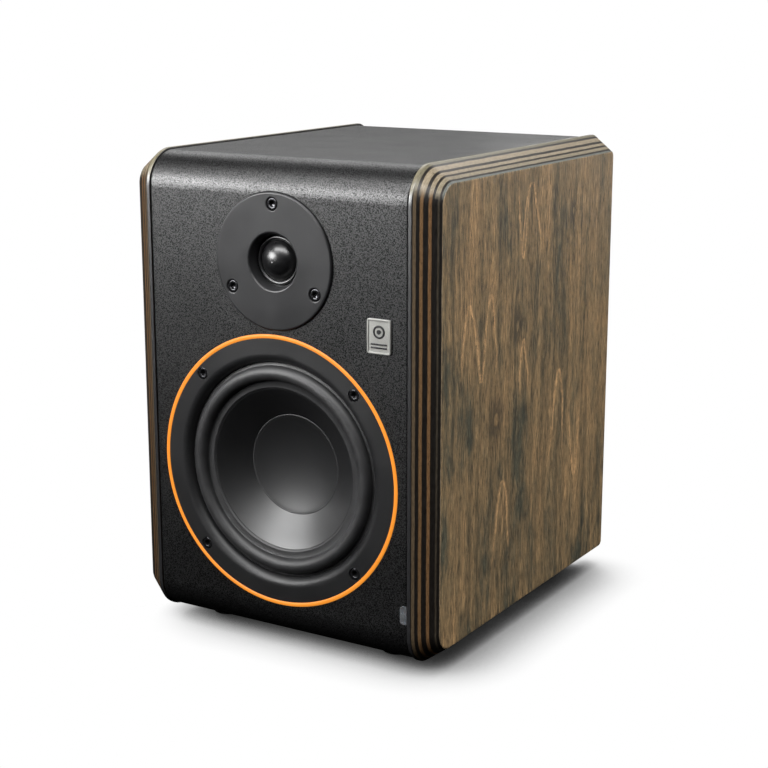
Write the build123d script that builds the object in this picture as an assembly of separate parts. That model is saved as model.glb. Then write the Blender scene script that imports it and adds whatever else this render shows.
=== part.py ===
from build123d import *
import math
import os

os.makedirs("parts", exist_ok=True)

# Active two-way bookshelf loudspeaker.
# Axes: X to the right seen from the front, Y from front to back, Z up.  Every sub-part is
# drawn with the front of the baffle at y = 0, and placed() then centres the speaker in Y.

# ---------------------------------------------------------------- driving dimensions, mm
FOOT_HEIGHT = 4.0               # clear height under the side panels
BODY_WIDTH = 164.0              # between the two side panels
PANEL_THICKNESS = 15.0
PANEL_HEIGHT = 267.0
PANEL_DEPTH = 227.0
PANEL_LAND = 2.0                # square edge next to the cabinet, before the bevel starts
PANEL_BEVEL = 9.5               # how far the bevel steps in all round
PANEL_FRONT_RADIUS = 20.0
PANEL_REAR_RADIUS = 12.5
PANEL_EDGE_ROUND = 0.8
PANEL_FRONT_PROUD = 0.5
PANEL_RIM_PROUD = 1.0           # side panels stand proud of the top and the bottom

BAFFLE_THICKNESS = 18.0
BOARD_THICKNESS = 15.0          # top and bottom boards
CABINET_DEPTH = 210.0
CABINET_FRONT_RADIUS = 19.0
CABINET_EDGE_ROUND = 1.2
REAR_THICKNESS = 12.0

WOOFER_ABOVE_PANEL = 97.0       # woofer axis above the bottom of the side panels
DRIVER_SPACING = 115.5          # tweeter axis above the woofer axis
TRIM_OUTER = 76.1               # radii of the coloured ring round the woofer
TRIM_INNER = 73.85
TRIM_PROUD = 0.4
WOOFER_FLANGE = 73.8
WOOFER_REBATE = 5.0
WOOFER_HOLE = 62.5
WOOFER_SCREW_CIRCLE = 69.6
TWEETER_PLATE = 37.0
TWEETER_PROUD = 1.5
TWEETER_REBATE = 4.0
TWEETER_HOLE = 26.8
TWEETER_SCREW_CIRCLE = 30.5

AMP_WIDTH = 146.0
AMP_BOTTOM = 22.0
AMP_HEIGHT = 150.0
AMP_THICKNESS = 2.5
PORT_RADIUS = 20.0              # inside of the bass-reflex tube
PORT_LENGTH = 105.0

# ---------------------------------------------------------------- worked-out positions
HALF_BODY = BODY_WIDTH / 2
BODY_BOTTOM = FOOT_HEIGHT + PANEL_RIM_PROUD
BODY_TOP = FOOT_HEIGHT + PANEL_HEIGHT - PANEL_RIM_PROUD
INSIDE_BOTTOM = BODY_BOTTOM + BOARD_THICKNESS
INSIDE_TOP = BODY_TOP - BOARD_THICKNESS
PANEL_REAR = PANEL_DEPTH - PANEL_FRONT_PROUD
WOOFER_Z = FOOT_HEIGHT + WOOFER_ABOVE_PANEL
TWEETER_Z = WOOFER_Z + DRIVER_SPACING
CENTRE_Y = (PANEL_REAR - TWEETER_PROUD) / 2
INSIDE_REAR = CABINET_DEPTH - REAR_THICKNESS
AMP_OUTSIDE = CABINET_DEPTH + AMP_THICKNESS

# Places on the amplifier panel, as (x, z).
COMBO_AT = (48.0, 88.0)
PHONO_AT = (48.0, 48.0)
VOLUME_AT = (12.0, 88.0)
TREBLE_AT = (-20.0, 88.0)
BASS_AT = (-46.0, 88.0)
INLET_AT = (-38.0, 46.0)
SWITCH_AT = (6.0, 46.0)
PORT_AT = (0.0, 212.0)


# ---------------------------------------------------------------- shape helpers
def turned(centre, start, *steps, arc=360):
    """Turn an outline of (radius, depth) points about a front-to-back axis at (x, z).

    Each step is the next point, or a (middle point, end point) pair for an arc.
    """
    edges = []
    here = start
    for step in steps:
        if isinstance(step[0], tuple):
            edges.append(ThreePointArc(here, step[0], step[1]))
            here = step[1]
        else:
            edges.append(Line(here, step))
            here = step
    if here != start:
        edges.append(Line(here, start))
    return Pos(centre[0], 0, centre[1]) * revolve(make_face(edges), Axis.Y, revolution_arc=arc)


def bowl_height(radius, height, at):
    """Height of a spherical bowl or dome at a radius, measured from its rim."""
    sphere = (radius**2 + height**2) / (2 * height)
    return math.sqrt(sphere**2 - at**2) - (sphere - height)


def ring(centre, inner, outer, front, back):
    """A plain ring or tube about a front-to-back axis."""
    return turned(centre, (inner, front), (outer, front), (outer, back), (inner, back))


def rod(centre, radius, front, back):
    """A round bar along Y."""
    length = back - front
    return Pos(centre[0], front + length / 2, centre[1]) * Rot(90, 0, 0) * Cylinder(radius, length)


def block(x, y, z):
    """A box from three (low, high) pairs."""
    size = [high - low for low, high in (x, y, z)]
    middle = [(high + low) / 2 for low, high in (x, y, z)]
    return Pos(*middle) * Box(*size)


def plate(centre, width, height, corner, front, back):
    """A plate across the speaker, with rounded corners."""
    face = Plane(origin=(centre[0], back, centre[1]), x_dir=(1, 0, 0), z_dir=(0, -1, 0))
    return extrude(face * RectangleRounded(width, height, corner), back - front)


def around(centre, radius, angles):
    """Points (x, z) on a circle, at angles in degrees from +X towards +Z."""
    return [
        (
            centre[0] + radius * math.cos(math.radians(angle)),
            centre[1] + radius * math.sin(math.radians(angle)),
        )
        for angle in angles
    ]


def socket_screw(at, front, head, head_height, shank, length, key=3.0):
    """A hexagon-socket screw whose head faces the front."""
    body = rod(at, head, front, front + head_height)
    body = fillet(body.edges().sort_by(Axis.Y)[0], 0.4)
    body += rod(at, shank, front + head_height, front + head_height + length)
    face = Plane(origin=(at[0], front, at[1]), x_dir=(1, 0, 0), z_dir=(0, 1, 0))
    key_hole = extrude(face * RegularPolygon(key / 2, 6, major_radius=False), head_height * 0.65)
    return body - key_hole


def screws(places, **sizes):
    """Identical screws as one group of separate solids."""
    return Compound(children=[socket_screw(at, **sizes) for at in places])


def rear_screw(at, front):
    """A pan-head screw whose head faces the back."""
    body = rod(at, 2.9, front, front + 1.8)
    body = fillet(body.edges().sort_by(Axis.Y)[-1], 0.7)
    slot = block((at[0] - 0.4, at[0] + 0.4), (front + 1.0, front + 2.0), (at[1] - 1.7, at[1] + 1.7))
    cross = block((at[0] - 1.7, at[0] + 1.7), (front + 1.0, front + 2.0), (at[1] - 0.4, at[1] + 0.4))
    return body - slot - cross


# ---------------------------------------------------------------- places shared by parts
WOOFER = (0.0, WOOFER_Z)
TWEETER = (0.0, TWEETER_Z)
WOOFER_SCREWS = around(WOOFER, WOOFER_SCREW_CIRCLE, (45, 135, 225, 315))
TWEETER_SCREWS = around(TWEETER, TWEETER_SCREW_CIRCLE, (90, 210, 330))
AMP_SCREWS = [
    (x, z)
    for x in (-AMP_WIDTH / 2 + 5, 0, AMP_WIDTH / 2 - 5)
    for z in (AMP_BOTTOM + 4, AMP_BOTTOM + AMP_HEIGHT - 4)
] + [(x, AMP_BOTTOM + AMP_HEIGHT / 2) for x in (-AMP_WIDTH / 2 + 5, AMP_WIDTH / 2 - 5)]
DOWELS = [
    (y, z)
    for z in (BODY_BOTTOM + BOARD_THICKNESS / 2, BODY_TOP - BOARD_THICKNESS / 2)
    for y in (60.0, 180.0)
] + [(BAFFLE_THICKNESS / 2, WOOFER_Z + 92), (BAFFLE_THICKNESS / 2, WOOFER_Z - 52)]
DOWEL_RADIUS = 4.0
DOWEL_GLUE_GAP = 0.05
DOWEL_IN_BODY = 14.0
DOWEL_IN_PANEL = 6.0
LIGHT_X = (HALF_BODY - 4.2, HALF_BODY - 0.1)
LIGHT_Z = (WOOFER_Z - 71.5, WOOFER_Z - 61.3)
BADGE_AT = (65.2, WOOFER_Z + 82.3)
FOOT_PLACES = [(x, y) for x in (-58.0, 58.0) for y in (30.0, 185.0)]
STANDOFFS = [(x, z) for x in (-50.0, 50.0) for z in (62.0, 152.0)]
BOARD_FRONT = 168.0
BOARD_BACK = 169.6
BRACE_Z = (165.0, 176.0)


def dowel(side, place, gap=0.0):
    """A wooden dowel between the cabinet and one side panel; a gap gives its hole."""
    middle = side * (HALF_BODY + (DOWEL_IN_PANEL - DOWEL_IN_BODY) / 2)
    length = DOWEL_IN_BODY + DOWEL_IN_PANEL + 10 * gap
    return Pos(middle, *place) * Rot(0, 90, 0) * Cylinder(DOWEL_RADIUS + gap, length)


# ---------------------------------------------------------------- cabinet
def cabinet_wrap():
    """Baffle, top and bottom in one folded shell with rounded front corners."""
    outline = Rectangle(CABINET_DEPTH, BODY_TOP - BODY_BOTTOM)
    outline = Plane.YZ * Pos(CABINET_DEPTH / 2, (BODY_TOP + BODY_BOTTOM) / 2) * outline
    outline = fillet(outline.vertices().sort_by(Axis.Y)[:2], CABINET_FRONT_RADIUS)
    body = extrude(outline, HALF_BODY, both=True)

    def at_panel_gap(edge):
        centre = edge.center()
        beside = abs(abs(centre.X) - HALF_BODY) < 0.01
        outside = centre.Y < 8 or centre.Z < BODY_BOTTOM + 1 or centre.Z > BODY_TOP - 1
        return beside and outside

    body = fillet(body.edges().filter_by(at_panel_gap), CABINET_EDGE_ROUND)
    hollow = block(
        (-HALF_BODY - 1, HALF_BODY + 1),
        (BAFFLE_THICKNESS, CABINET_DEPTH + 1),
        (INSIDE_BOTTOM, INSIDE_TOP),
    )
    body -= fillet(hollow.edges().filter_by(Axis.X).sort_by(Axis.Y)[:2], 3)
    body -= rod(WOOFER, TRIM_OUTER + 0.05, -1, WOOFER_REBATE)
    body -= rod(WOOFER, WOOFER_HOLE, -1, BAFFLE_THICKNESS + 1)
    body -= rod(TWEETER, TWEETER_PLATE + 0.15, -1, TWEETER_REBATE)
    body -= rod(TWEETER, TWEETER_HOLE, -1, BAFFLE_THICKNESS + 1)
    for at in WOOFER_SCREWS:
        body -= rod(at, 1.7, WOOFER_REBATE - 0.5, BAFFLE_THICKNESS - 1.5)
    for at in TWEETER_SCREWS:
        body -= rod(at, 1.5, TWEETER_REBATE - 0.5, BAFFLE_THICKNESS - 1.5)
    body -= block((LIGHT_X[0], HALF_BODY + 1), (-1, BAFFLE_THICKNESS + 1), LIGHT_Z)
    for x, y in FOOT_PLACES:
        body -= Pos(x, y, BODY_BOTTOM + 5) * Cylinder(1.5, 10)
    for side in (-1, 1):
        for place in DOWELS:
            body -= dowel(side, place, DOWEL_GLUE_GAP)
    body -= Pos(*TRANSFORMER_AT, INSIDE_BOTTOM - 5) * Cylinder(2.5, 10)
    return body


def panel_outline(inset, x):
    """Outline of a side panel, stepped in by inset, on the plane at x."""
    low_y = -PANEL_FRONT_PROUD + inset
    high_y = PANEL_REAR - inset
    low_z = FOOT_HEIGHT + inset
    high_z = FOOT_HEIGHT + PANEL_HEIGHT - inset
    face = Rectangle(high_y - low_y, high_z - low_z)
    face = Plane.YZ.offset(x) * Pos((high_y + low_y) / 2, (high_z + low_z) / 2) * face
    face = fillet(face.vertices().sort_by(Axis.Y)[:2], PANEL_FRONT_RADIUS - inset)
    return fillet(face.vertices().sort_by(Axis.Y)[-2:], PANEL_REAR_RADIUS - inset)


def side_panel(side):
    """A thick plywood side, bevelled right round its outer face."""
    land = extrude(panel_outline(0, HALF_BODY), PANEL_LAND)
    bevel = loft(
        [
            panel_outline(0, HALF_BODY + PANEL_LAND),
            panel_outline(PANEL_BEVEL, HALF_BODY + PANEL_THICKNESS),
        ],
        ruled=True,
    )
    body = land + bevel
    outer = body.faces().sort_by(Axis.X)[-1]
    body = fillet(outer.edges(), PANEL_EDGE_ROUND)
    if side < 0:
        body = mirror(body, Plane.YZ)
    for place in DOWELS:
        body -= dowel(side, place, DOWEL_GLUE_GAP)
    return body


def dowels():
    return Compound(children=[dowel(side, place) for side in (-1, 1) for place in DOWELS])


def rear_panel():
    """Inset back board, cut out for the amplifier and the port."""
    body = block((-HALF_BODY, HALF_BODY), (INSIDE_REAR, CABINET_DEPTH), (INSIDE_BOTTOM, INSIDE_TOP))
    opening_z = AMP_BOTTOM + AMP_HEIGHT / 2
    through = (INSIDE_REAR - 1, CABINET_DEPTH + 1)
    body -= plate((0, opening_z), AMP_WIDTH - 22, AMP_HEIGHT - 16, 6, *through)
    body -= rod(PORT_AT, PORT_RADIUS + 2.5, *through)
    return body


def shelf_brace():
    """Window brace that ties the sides, the baffle and the back together."""
    body = block((-HALF_BODY, HALF_BODY), (BAFFLE_THICKNESS, INSIDE_REAR), BRACE_Z)
    middle = (BAFFLE_THICKNESS + INSIDE_REAR) / 2
    window = Pos(0, middle, sum(BRACE_Z) / 2) * Box(116, 116, 20)
    return body - fillet(window.edges().filter_by(Axis.Z), 14)


def damping_felt():
    """Felt sheets glued inside the two sides and under the top."""
    sheets = [block((-74, 74), (30, 190), (INSIDE_TOP - 7, INSIDE_TOP))]
    for side in (-1, 1):
        x = sorted((side * (HALF_BODY - 8), side * HALF_BODY))
        sheets.append(block(x, (30, 180), (26, 160)))
    return Compound(children=sheets)


def foot(place):
    """Rubber foot with a recess for its screw."""
    height = BODY_BOTTOM
    body = Pos(*place, height / 2) * Cone(8.0, 9.5, height)
    body = fillet(body.edges().sort_by(Axis.Z)[0], 1.0)
    body -= Pos(*place, 1.25) * Cylinder(4.2, 2.5)
    return body - Pos(*place, height / 2) * Cylinder(1.6, height + 1)


def rubber_feet():
    return Compound(children=[foot(place) for place in FOOT_PLACES])


def foot_screws():
    group = []
    for place in FOOT_PLACES:
        head = Pos(*place, 1.9) * Cylinder(3.8, 1.2)
        group.append(head + Pos(*place, 8.0) * Cylinder(1.4, 11.5))
    return Compound(children=group)


def badge():
    """Plain metal badge with a raised rim and a plain round boss."""
    width = 14.2
    height = 18.4
    body = plate(BADGE_AT, width, height, 1.2, -1.2, 0)
    body -= plate(BADGE_AT, width - 1.6, height - 1.6, 0.6, -2, -0.8)
    return body + rod((BADGE_AT[0], BADGE_AT[1] + 1.5), 3.6, -1.1, -0.7)


def status_light():
    """Clear light pipe at the right edge of the baffle."""
    body = block(LIGHT_X, (-0.4, BAFFLE_THICKNESS), (LIGHT_Z[0] + 0.05, LIGHT_Z[1] - 0.05))
    return fillet(body.edges().filter_by(Axis.Y).sort_by(Axis.X)[:2], 1.4)


def status_board():
    """Small circuit board behind the light pipe, with its lamp."""
    z = (LIGHT_Z[0] - 4, LIGHT_Z[1] + 4)
    layer = (BAFFLE_THICKNESS + 2.0, BAFFLE_THICKNESS + 3.6)
    board = block((62, 78), layer, z)
    middle = sum(LIGHT_Z) / 2
    arm = block((76, 81.5), layer, (middle - 4, middle + 4))
    behind_baffle = (BAFFLE_THICKNESS, BAFFLE_THICKNESS + 2)
    lamp = block((LIGHT_X[0] + 0.4, LIGHT_X[1] - 0.4), behind_baffle, (middle - 2, middle + 2))
    posts = rod((66, z[0] + 4), 1.5, *behind_baffle)
    posts += rod((66, z[1] - 4), 1.5, *behind_baffle)
    return board + arm + lamp + posts


# ---------------------------------------------------------------- woofer
FRAME_SEAT = 5.3                # depth of the ledge under the surround
SURROUND_SKIN = 0.8
ROLL_OUTER = 58.3
ROLL_INNER = 49.9
CONE_EDGE = 45.0
NECK_RADIUS = 13.15             # outside of the voice-coil former
CONE_NECK_DEPTH = 28.0
CAP_RADIUS = 28.0
SPIDER_SEAT = 30.0
FRAME_BACK = 42.5
TOP_PLATE_BACK = 47.5
MAGNET_BACK = 62.5
YOKE_BACK = 67.5


def cone_surface(radius):
    """Depth of the front of the cone at a radius."""
    slope = (CONE_NECK_DEPTH - FRAME_SEAT) / (CONE_EDGE - NECK_RADIUS)
    return FRAME_SEAT + (CONE_EDGE - radius) * slope


def woofer_frame():
    """Cast frame: flange with a rolled lip, six spokes, spider ledge and magnet plate."""
    body = turned(
        WOOFER,
        (66.0, 0.0),
        (WOOFER_FLANGE, 0.0),
        (WOOFER_FLANGE, 4.0),
        (62.0, 4.0),
        (61.0, 8.0),
        (46.0, SPIDER_SEAT),
        (46.0, SPIDER_SEAT + 2),
        (37.5, SPIDER_SEAT + 2),
        (37.5, FRAME_BACK),
        (14.6, FRAME_BACK),
        (14.6, FRAME_BACK - 2.5),
        (35.5, FRAME_BACK - 2.5),
        (35.5, SPIDER_SEAT),
        (43.4, SPIDER_SEAT),
        (57.0, 10.0),
        (57.0, FRAME_SEAT),
        (60.2, FRAME_SEAT),
        (60.2, FRAME_SEAT - SURROUND_SKIN),
        ((61.9, 1.35), (66.0, 0.0)),
    )
    for index in range(6):
        window = turned(
            (0, 0), (40.0, 11.0), (66.0, 11.0), (66.0, 27.0), (40.0, 27.0), arc=42
        )
        body -= Pos(0, 0, WOOFER_Z) * Rot(0, index * 60 + 9, 0) * window
    for at in WOOFER_SCREWS:
        body -= rod(at, 3.4, -1, 2.6)
        body -= rod(at, 2.2, -1, 5)
    return body + block((-9, 9), (33, 42), (WOOFER_Z + 36.6, WOOFER_Z + 40))


def trim_ring():
    """Coloured ring in the gap between the woofer flange and the baffle."""
    low = WOOFER_REBATE
    middle = (TRIM_INNER + TRIM_OUTER) / 2
    return turned(
        WOOFER,
        (TRIM_INNER, 0.1),
        ((middle, -TRIM_PROUD), (TRIM_OUTER, 0.1)),
        (TRIM_OUTER, low),
        (TRIM_INNER, low),
    )


def woofer_gasket():
    body = ring(WOOFER, 63.5, 73.0, 4.0, WOOFER_REBATE)
    for at in WOOFER_SCREWS:
        body -= rod(at, 2.2, 3, 6)
    return body


def woofer_surround():
    """Half-roll rubber surround between the frame and the cone."""
    front = FRAME_SEAT - SURROUND_SKIN
    middle = (ROLL_OUTER + ROLL_INNER) / 2
    half = (ROLL_OUTER - ROLL_INNER) / 2
    return turned(
        WOOFER,
        (60.0, front),
        (ROLL_OUTER, front),
        ((middle, front - half), (ROLL_INNER, front)),
        (CONE_EDGE + 0.3, front),
        (CONE_EDGE + 0.3, FRAME_SEAT),
        (ROLL_INNER + SURROUND_SKIN, FRAME_SEAT),
        ((middle, FRAME_SEAT - half), (ROLL_OUTER - SURROUND_SKIN, FRAME_SEAT)),
        (60.0, FRAME_SEAT),
    )


def woofer_cone():
    """Straight-sided cone with a flat rim for the surround."""
    skin = 0.75
    return turned(
        WOOFER,
        (ROLL_INNER, FRAME_SEAT),
        (CONE_EDGE, FRAME_SEAT),
        (NECK_RADIUS, CONE_NECK_DEPTH),
        (NECK_RADIUS, CONE_NECK_DEPTH + skin),
        (CONE_EDGE, FRAME_SEAT + skin),
        (ROLL_INNER, FRAME_SEAT + skin),
    )


def woofer_dust_cap():
    """Dished cap over the voice coil."""
    edge = cone_surface(CAP_RADIUS)
    dish = 5.2
    skin = 0.8
    rim = CAP_RADIUS - 0.4
    middle = CAP_RADIUS / 2
    return turned(
        WOOFER,
        (CAP_RADIUS, edge),
        (rim, edge - skin),
        ((middle, edge - skin + bowl_height(rim, dish, middle)), (0, edge - skin + dish)),
        (0, edge + dish),
        ((middle, edge + bowl_height(CAP_RADIUS, dish, middle)), (CAP_RADIUS, edge)),
    )


def woofer_voice_coil():
    """Thin former that joins the cone, with the winding on its back end."""
    former = ring(WOOFER, NECK_RADIUS - 0.4, NECK_RADIUS, CONE_NECK_DEPTH - 1, 51.0)
    return former + ring(WOOFER, NECK_RADIUS, NECK_RADIUS + 0.7, 39.0, 51.0)


def woofer_spider():
    """Corrugated cloth disc that centres the voice coil."""
    waves = 4
    inner = 17.0
    pitch = (35.0 - inner) / waves / 2
    skin = 0.6
    back = SPIDER_SEAT

    def corrugation(depth, outward):
        steps = []
        for index in range(2 * waves):
            number = index if outward else 2 * waves - 1 - index
            height = 1.1 if number % 2 else -1.1
            middle = inner + (number + 0.5) * pitch
            end = inner + (number + (1 if outward else 0)) * pitch
            steps.append(((middle, depth + height), (end, depth)))
        return steps

    return turned(
        WOOFER,
        (NECK_RADIUS, back - skin),
        (inner, back - skin),
        *corrugation(back - skin, True),
        (41.0, back - skin),
        (41.0, back),
        (35.0, back),
        *corrugation(back, False),
        (NECK_RADIUS, back),
    )


def woofer_top_plate():
    return ring(WOOFER, 14.3, 36.0, FRAME_BACK, TOP_PLATE_BACK)


def woofer_magnet():
    body = ring(WOOFER, 18.0, 39.0, TOP_PLATE_BACK, MAGNET_BACK)
    return fillet(body.edges().filter_by(GeomType.CIRCLE).group_by(SortBy.RADIUS)[-1], 1.0)


def woofer_yoke():
    """Back plate and vented pole in one turned piece."""
    return turned(
        WOOFER,
        (4.0, 43.0),
        (11.8, 43.0),
        (12.3, 43.5),
        (12.3, MAGNET_BACK),
        (36.0, MAGNET_BACK),
        (36.0, YOKE_BACK - 1.5),
        (34.5, YOKE_BACK),
        (4.0, YOKE_BACK),
    )


def woofer_terminals():
    """Insulating strip with two solder tags."""
    top = WOOFER_Z + 40
    strip = block((-9, 9), (33, 42), (top, top + 1.6))
    tags = [block((x - 1.6, x + 1.6), (34, 41), (top + 1.6, top + 3.4)) for x in (-5, 5)]
    return Compound(children=[strip, *tags])


# ---------------------------------------------------------------- tweeter
DOME_BASE = 5.4                 # depth of the plane the dome and its surround sit on
DOME_RADIUS = 10.9
DOME_HEIGHT = 6.6
HORN_MOUTH = 15.6
HORN_THROAT = 13.9
TWEETER_MAGNET_BACK = 18.4
TWEETER_BACK = 22.0


def tweeter_faceplate():
    """Round plate with a softened edge and a short flared throat."""
    front = -TWEETER_PROUD
    body = turned(
        TWEETER,
        (HORN_MOUTH, front),
        (TWEETER_PLATE - 1.2, front),
        ((TWEETER_PLATE - 0.35, front + 0.35), (TWEETER_PLATE, front + 1.2)),
        (TWEETER_PLATE, 3.0),
        (26.0, 3.0),
        (26.0, DOME_BASE),
        (16.2, DOME_BASE),
        (16.2, DOME_BASE - 0.6),
        (HORN_THROAT, DOME_BASE - 0.6),
        ((HORN_THROAT + 0.4, 1.6), (HORN_MOUTH, front)),
    )
    for at in TWEETER_SCREWS:
        body -= rod(at, 3.5, front - 1, front + 2.4)
        body -= rod(at, 1.9, front - 1, 4)
    return body


def tweeter_gasket():
    body = ring(TWEETER, 27.4, 36.5, 3.0, TWEETER_REBATE)
    for at in TWEETER_SCREWS:
        body -= rod(at, 1.9, 2, 5)
    return body


def tweeter_dome():
    """Thin soft dome."""
    skin = 0.4
    base = DOME_BASE - 0.6
    inner = DOME_RADIUS - skin
    inner_height = DOME_HEIGHT - skin
    middle = DOME_RADIUS / 2
    return turned(
        TWEETER,
        (DOME_RADIUS, base),
        ((middle, base - bowl_height(DOME_RADIUS, DOME_HEIGHT, middle)), (0, base - DOME_HEIGHT)),
        (0, base - inner_height),
        ((middle, base - bowl_height(inner, inner_height, middle)), (inner, base)),
    )


def tweeter_surround():
    """Small half roll from the dome to its mounting ring."""
    front = DOME_BASE - 0.6
    skin = 0.4
    roll_inner = DOME_RADIUS + 0.2
    roll_outer = HORN_THROAT - 0.5
    middle = (roll_inner + roll_outer) / 2
    half = (roll_outer - roll_inner) / 2
    return turned(
        TWEETER,
        (DOME_RADIUS, front),
        (roll_inner, front),
        ((middle, front - half), (roll_outer, front)),
        (16.0, front),
        (16.0, DOME_BASE),
        (roll_outer, DOME_BASE),
        ((middle, front - half + skin + 0.2), (roll_inner, front + skin)),
        (DOME_RADIUS, front + skin),
    )


def tweeter_voice_coil():
    base = DOME_BASE - 0.6
    former = ring(TWEETER, 10.3, 10.55, base, 12.5)
    winding = ring(TWEETER, 10.55, 10.95, 7.0, 11.0)
    return former + winding


def tweeter_top_plate():
    return ring(TWEETER, 11.4, 25.8, DOME_BASE, DOME_BASE + 4)


def tweeter_magnet():
    return ring(TWEETER, 14.0, 26.3, DOME_BASE + 4, TWEETER_MAGNET_BACK)


def tweeter_yoke():
    return turned(
        TWEETER,
        (0, 6.4),
        (9.9, 6.4),
        (9.9, TWEETER_MAGNET_BACK),
        (25.0, TWEETER_MAGNET_BACK),
        (25.0, TWEETER_BACK - 1),
        (24.0, TWEETER_BACK),
        (0, TWEETER_BACK),
    )


def tweeter_terminals():
    """Two tags on an insulating strip behind the magnet."""
    strip = block((8, 24), (TWEETER_BACK, TWEETER_BACK + 1.6), (TWEETER_Z - 7, TWEETER_Z + 7))
    tags = [
        block((12, 19), (TWEETER_BACK + 1.6, TWEETER_BACK + 4.0), (z - 1.4, z + 1.4))
        for z in (TWEETER_Z - 4, TWEETER_Z + 4)
    ]
    return Compound(children=[strip, *tags])


# ---------------------------------------------------------------- port and amplifier
def port_tube():
    """Bass-reflex tube with a flared mouth at the back."""
    wall = 2.5
    front = CABINET_DEPTH - PORT_LENGTH
    flare = 11.0
    lip = PORT_RADIUS + flare
    return turned(
        PORT_AT,
        (PORT_RADIUS, front + 1.5),
        ((PORT_RADIUS + wall / 2, front), (PORT_RADIUS + wall, front + 1.5)),
        (PORT_RADIUS + wall, CABINET_DEPTH),
        (lip + 1.0, CABINET_DEPTH),
        (lip + 1.0, CABINET_DEPTH + 2.0),
        ((lip + 0.5, CABINET_DEPTH + 2.8), (lip - 1.0, CABINET_DEPTH + 3.0)),
        (
            (PORT_RADIUS + flare * 0.24, CABINET_DEPTH + 0.6 - flare * 0.35),
            (PORT_RADIUS, CABINET_DEPTH - flare),
        ),
    )


def amp_panel():
    """Aluminium back panel that carries the controls, sockets and heat sink."""
    centre = (0, AMP_BOTTOM + AMP_HEIGHT / 2)
    body = plate(centre, AMP_WIDTH, AMP_HEIGHT, 4, CABINET_DEPTH, AMP_OUTSIDE)
    through = (CABINET_DEPTH - 1, AMP_OUTSIDE + 1)
    body -= plate(INLET_AT, 28, 21, 2, *through)
    body -= plate(SWITCH_AT, 13.2, 19.2, 1, *through)
    body -= rod(COMBO_AT, 12, *through)
    body -= block((COMBO_AT[0] - 5, COMBO_AT[0] + 5), through, (COMBO_AT[1], COMBO_AT[1] + 14.4))
    body -= rod(PHONO_AT, 3.5, *through)
    for at in (VOLUME_AT, TREBLE_AT, BASS_AT):
        body -= rod(at, 3.55, *through)
    for at in AMP_SCREWS:
        body -= rod(at, 1.5, *through)
    return body


def amp_screws():
    """Pan-head screws round the panel, and the pairs that hold the inlet and the input socket."""
    group = [rear_screw(at, AMP_OUTSIDE) for at in AMP_SCREWS]
    group += [rear_screw((INLET_AT[0] + x, INLET_AT[1]), AMP_OUTSIDE + 3) for x in (-20, 20)]
    corners = ((-9.5, 12), (9.5, -12))
    group += [rear_screw((COMBO_AT[0] + x, COMBO_AT[1] + z), AMP_OUTSIDE + 2) for x, z in corners]
    return Compound(children=group)


def heat_sink():
    """Finned extrusion across the top of the amplifier panel."""
    base = (AMP_OUTSIDE, AMP_OUTSIDE + 3)
    z = (116.0, 162.0)
    half_width = 58.0
    fins = 17
    body = block((-half_width, half_width), base, z)
    pitch = (2 * half_width - 1.8) / (fins - 1)
    for index in range(fins):
        left = -half_width + index * pitch
        body += block((left, left + 1.8), (base[1], AMP_OUTSIDE + 12.5), z)
    return body


def heat_bar():
    """Aluminium bar that carries heat from the power chips to the panel."""
    return block((-40, 40), (174, CABINET_DEPTH), (130, 146))


def power_chips():
    chips = [block((x - 10, x + 10), (BOARD_BACK, 174), (128, 148)) for x in (-24, 24)]
    return Compound(children=chips)


def amp_board():
    """Amplifier and power-supply board."""
    body = block((-56, 56), (BOARD_FRONT, BOARD_BACK), (36, 158))
    for at in STANDOFFS:
        body -= rod(at, 1.6, BOARD_FRONT - 1, BOARD_BACK + 1)
    return body


def board_standoffs():
    group = []
    for at in STANDOFFS:
        face = Plane(origin=(at[0], BOARD_BACK, at[1]), x_dir=(1, 0, 0), z_dir=(0, 1, 0))
        pillar = extrude(face * RegularPolygon(3.0, 6, major_radius=False), CABINET_DEPTH - BOARD_BACK)
        head = rod(at, 2.8, BOARD_FRONT - 2, BOARD_FRONT)
        group.append(pillar + head + rod(at, 1.5, BOARD_FRONT, BOARD_BACK))
    return Compound(children=group)


def capacitors():
    group = []
    for x in (-36, -12, 12, 36):
        can = rod((x, 70), 10, BOARD_FRONT - 32, BOARD_FRONT)
        group.append(fillet(can.edges().sort_by(Axis.Y)[0], 1.2))
    return Compound(children=group)


TRANSFORMER_AT = (-28.0, 112.0)


def transformer():
    """Toroidal mains transformer, flat on the bottom board."""
    body = Pos(*TRANSFORMER_AT, INSIDE_BOTTOM + 15) * Cylinder(36, 28)
    body = fillet(body.edges().filter_by(GeomType.CIRCLE), 8)
    return body - Pos(*TRANSFORMER_AT, INSIDE_BOTTOM + 15) * Cylinder(13, 40)


def transformer_clamp():
    """Dished washer that holds the transformer down."""
    top = INSIDE_BOTTOM + 29
    disc = Pos(*TRANSFORMER_AT, top + 1) * Cylinder(24, 2)
    cup = Pos(*TRANSFORMER_AT, top - 3) * Cylinder(12.5, 6)
    return disc + cup - Pos(*TRANSFORMER_AT, top - 3) * Cylinder(3, 20)


def transformer_bolt():
    top = INSIDE_BOTTOM + 31
    head = Pos(*TRANSFORMER_AT, top + 2) * extrude(RegularPolygon(5, 6, major_radius=False), 2, both=True)
    length = top - INSIDE_BOTTOM + 9
    return head + Pos(*TRANSFORMER_AT, top - length / 2) * Cylinder(2.5, length)


def mains_inlet():
    """Three-pin mains inlet with its cavity open to the back."""
    face = AMP_OUTSIDE + 3
    body = plate(INLET_AT, 50, 26, 4, AMP_OUTSIDE, face)
    body += plate(INLET_AT, 27.6, 20.6, 2, 194, AMP_OUTSIDE)
    body -= plate(INLET_AT, 24.4, 16.6, 2.5, 198, face + 1)
    return body


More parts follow.
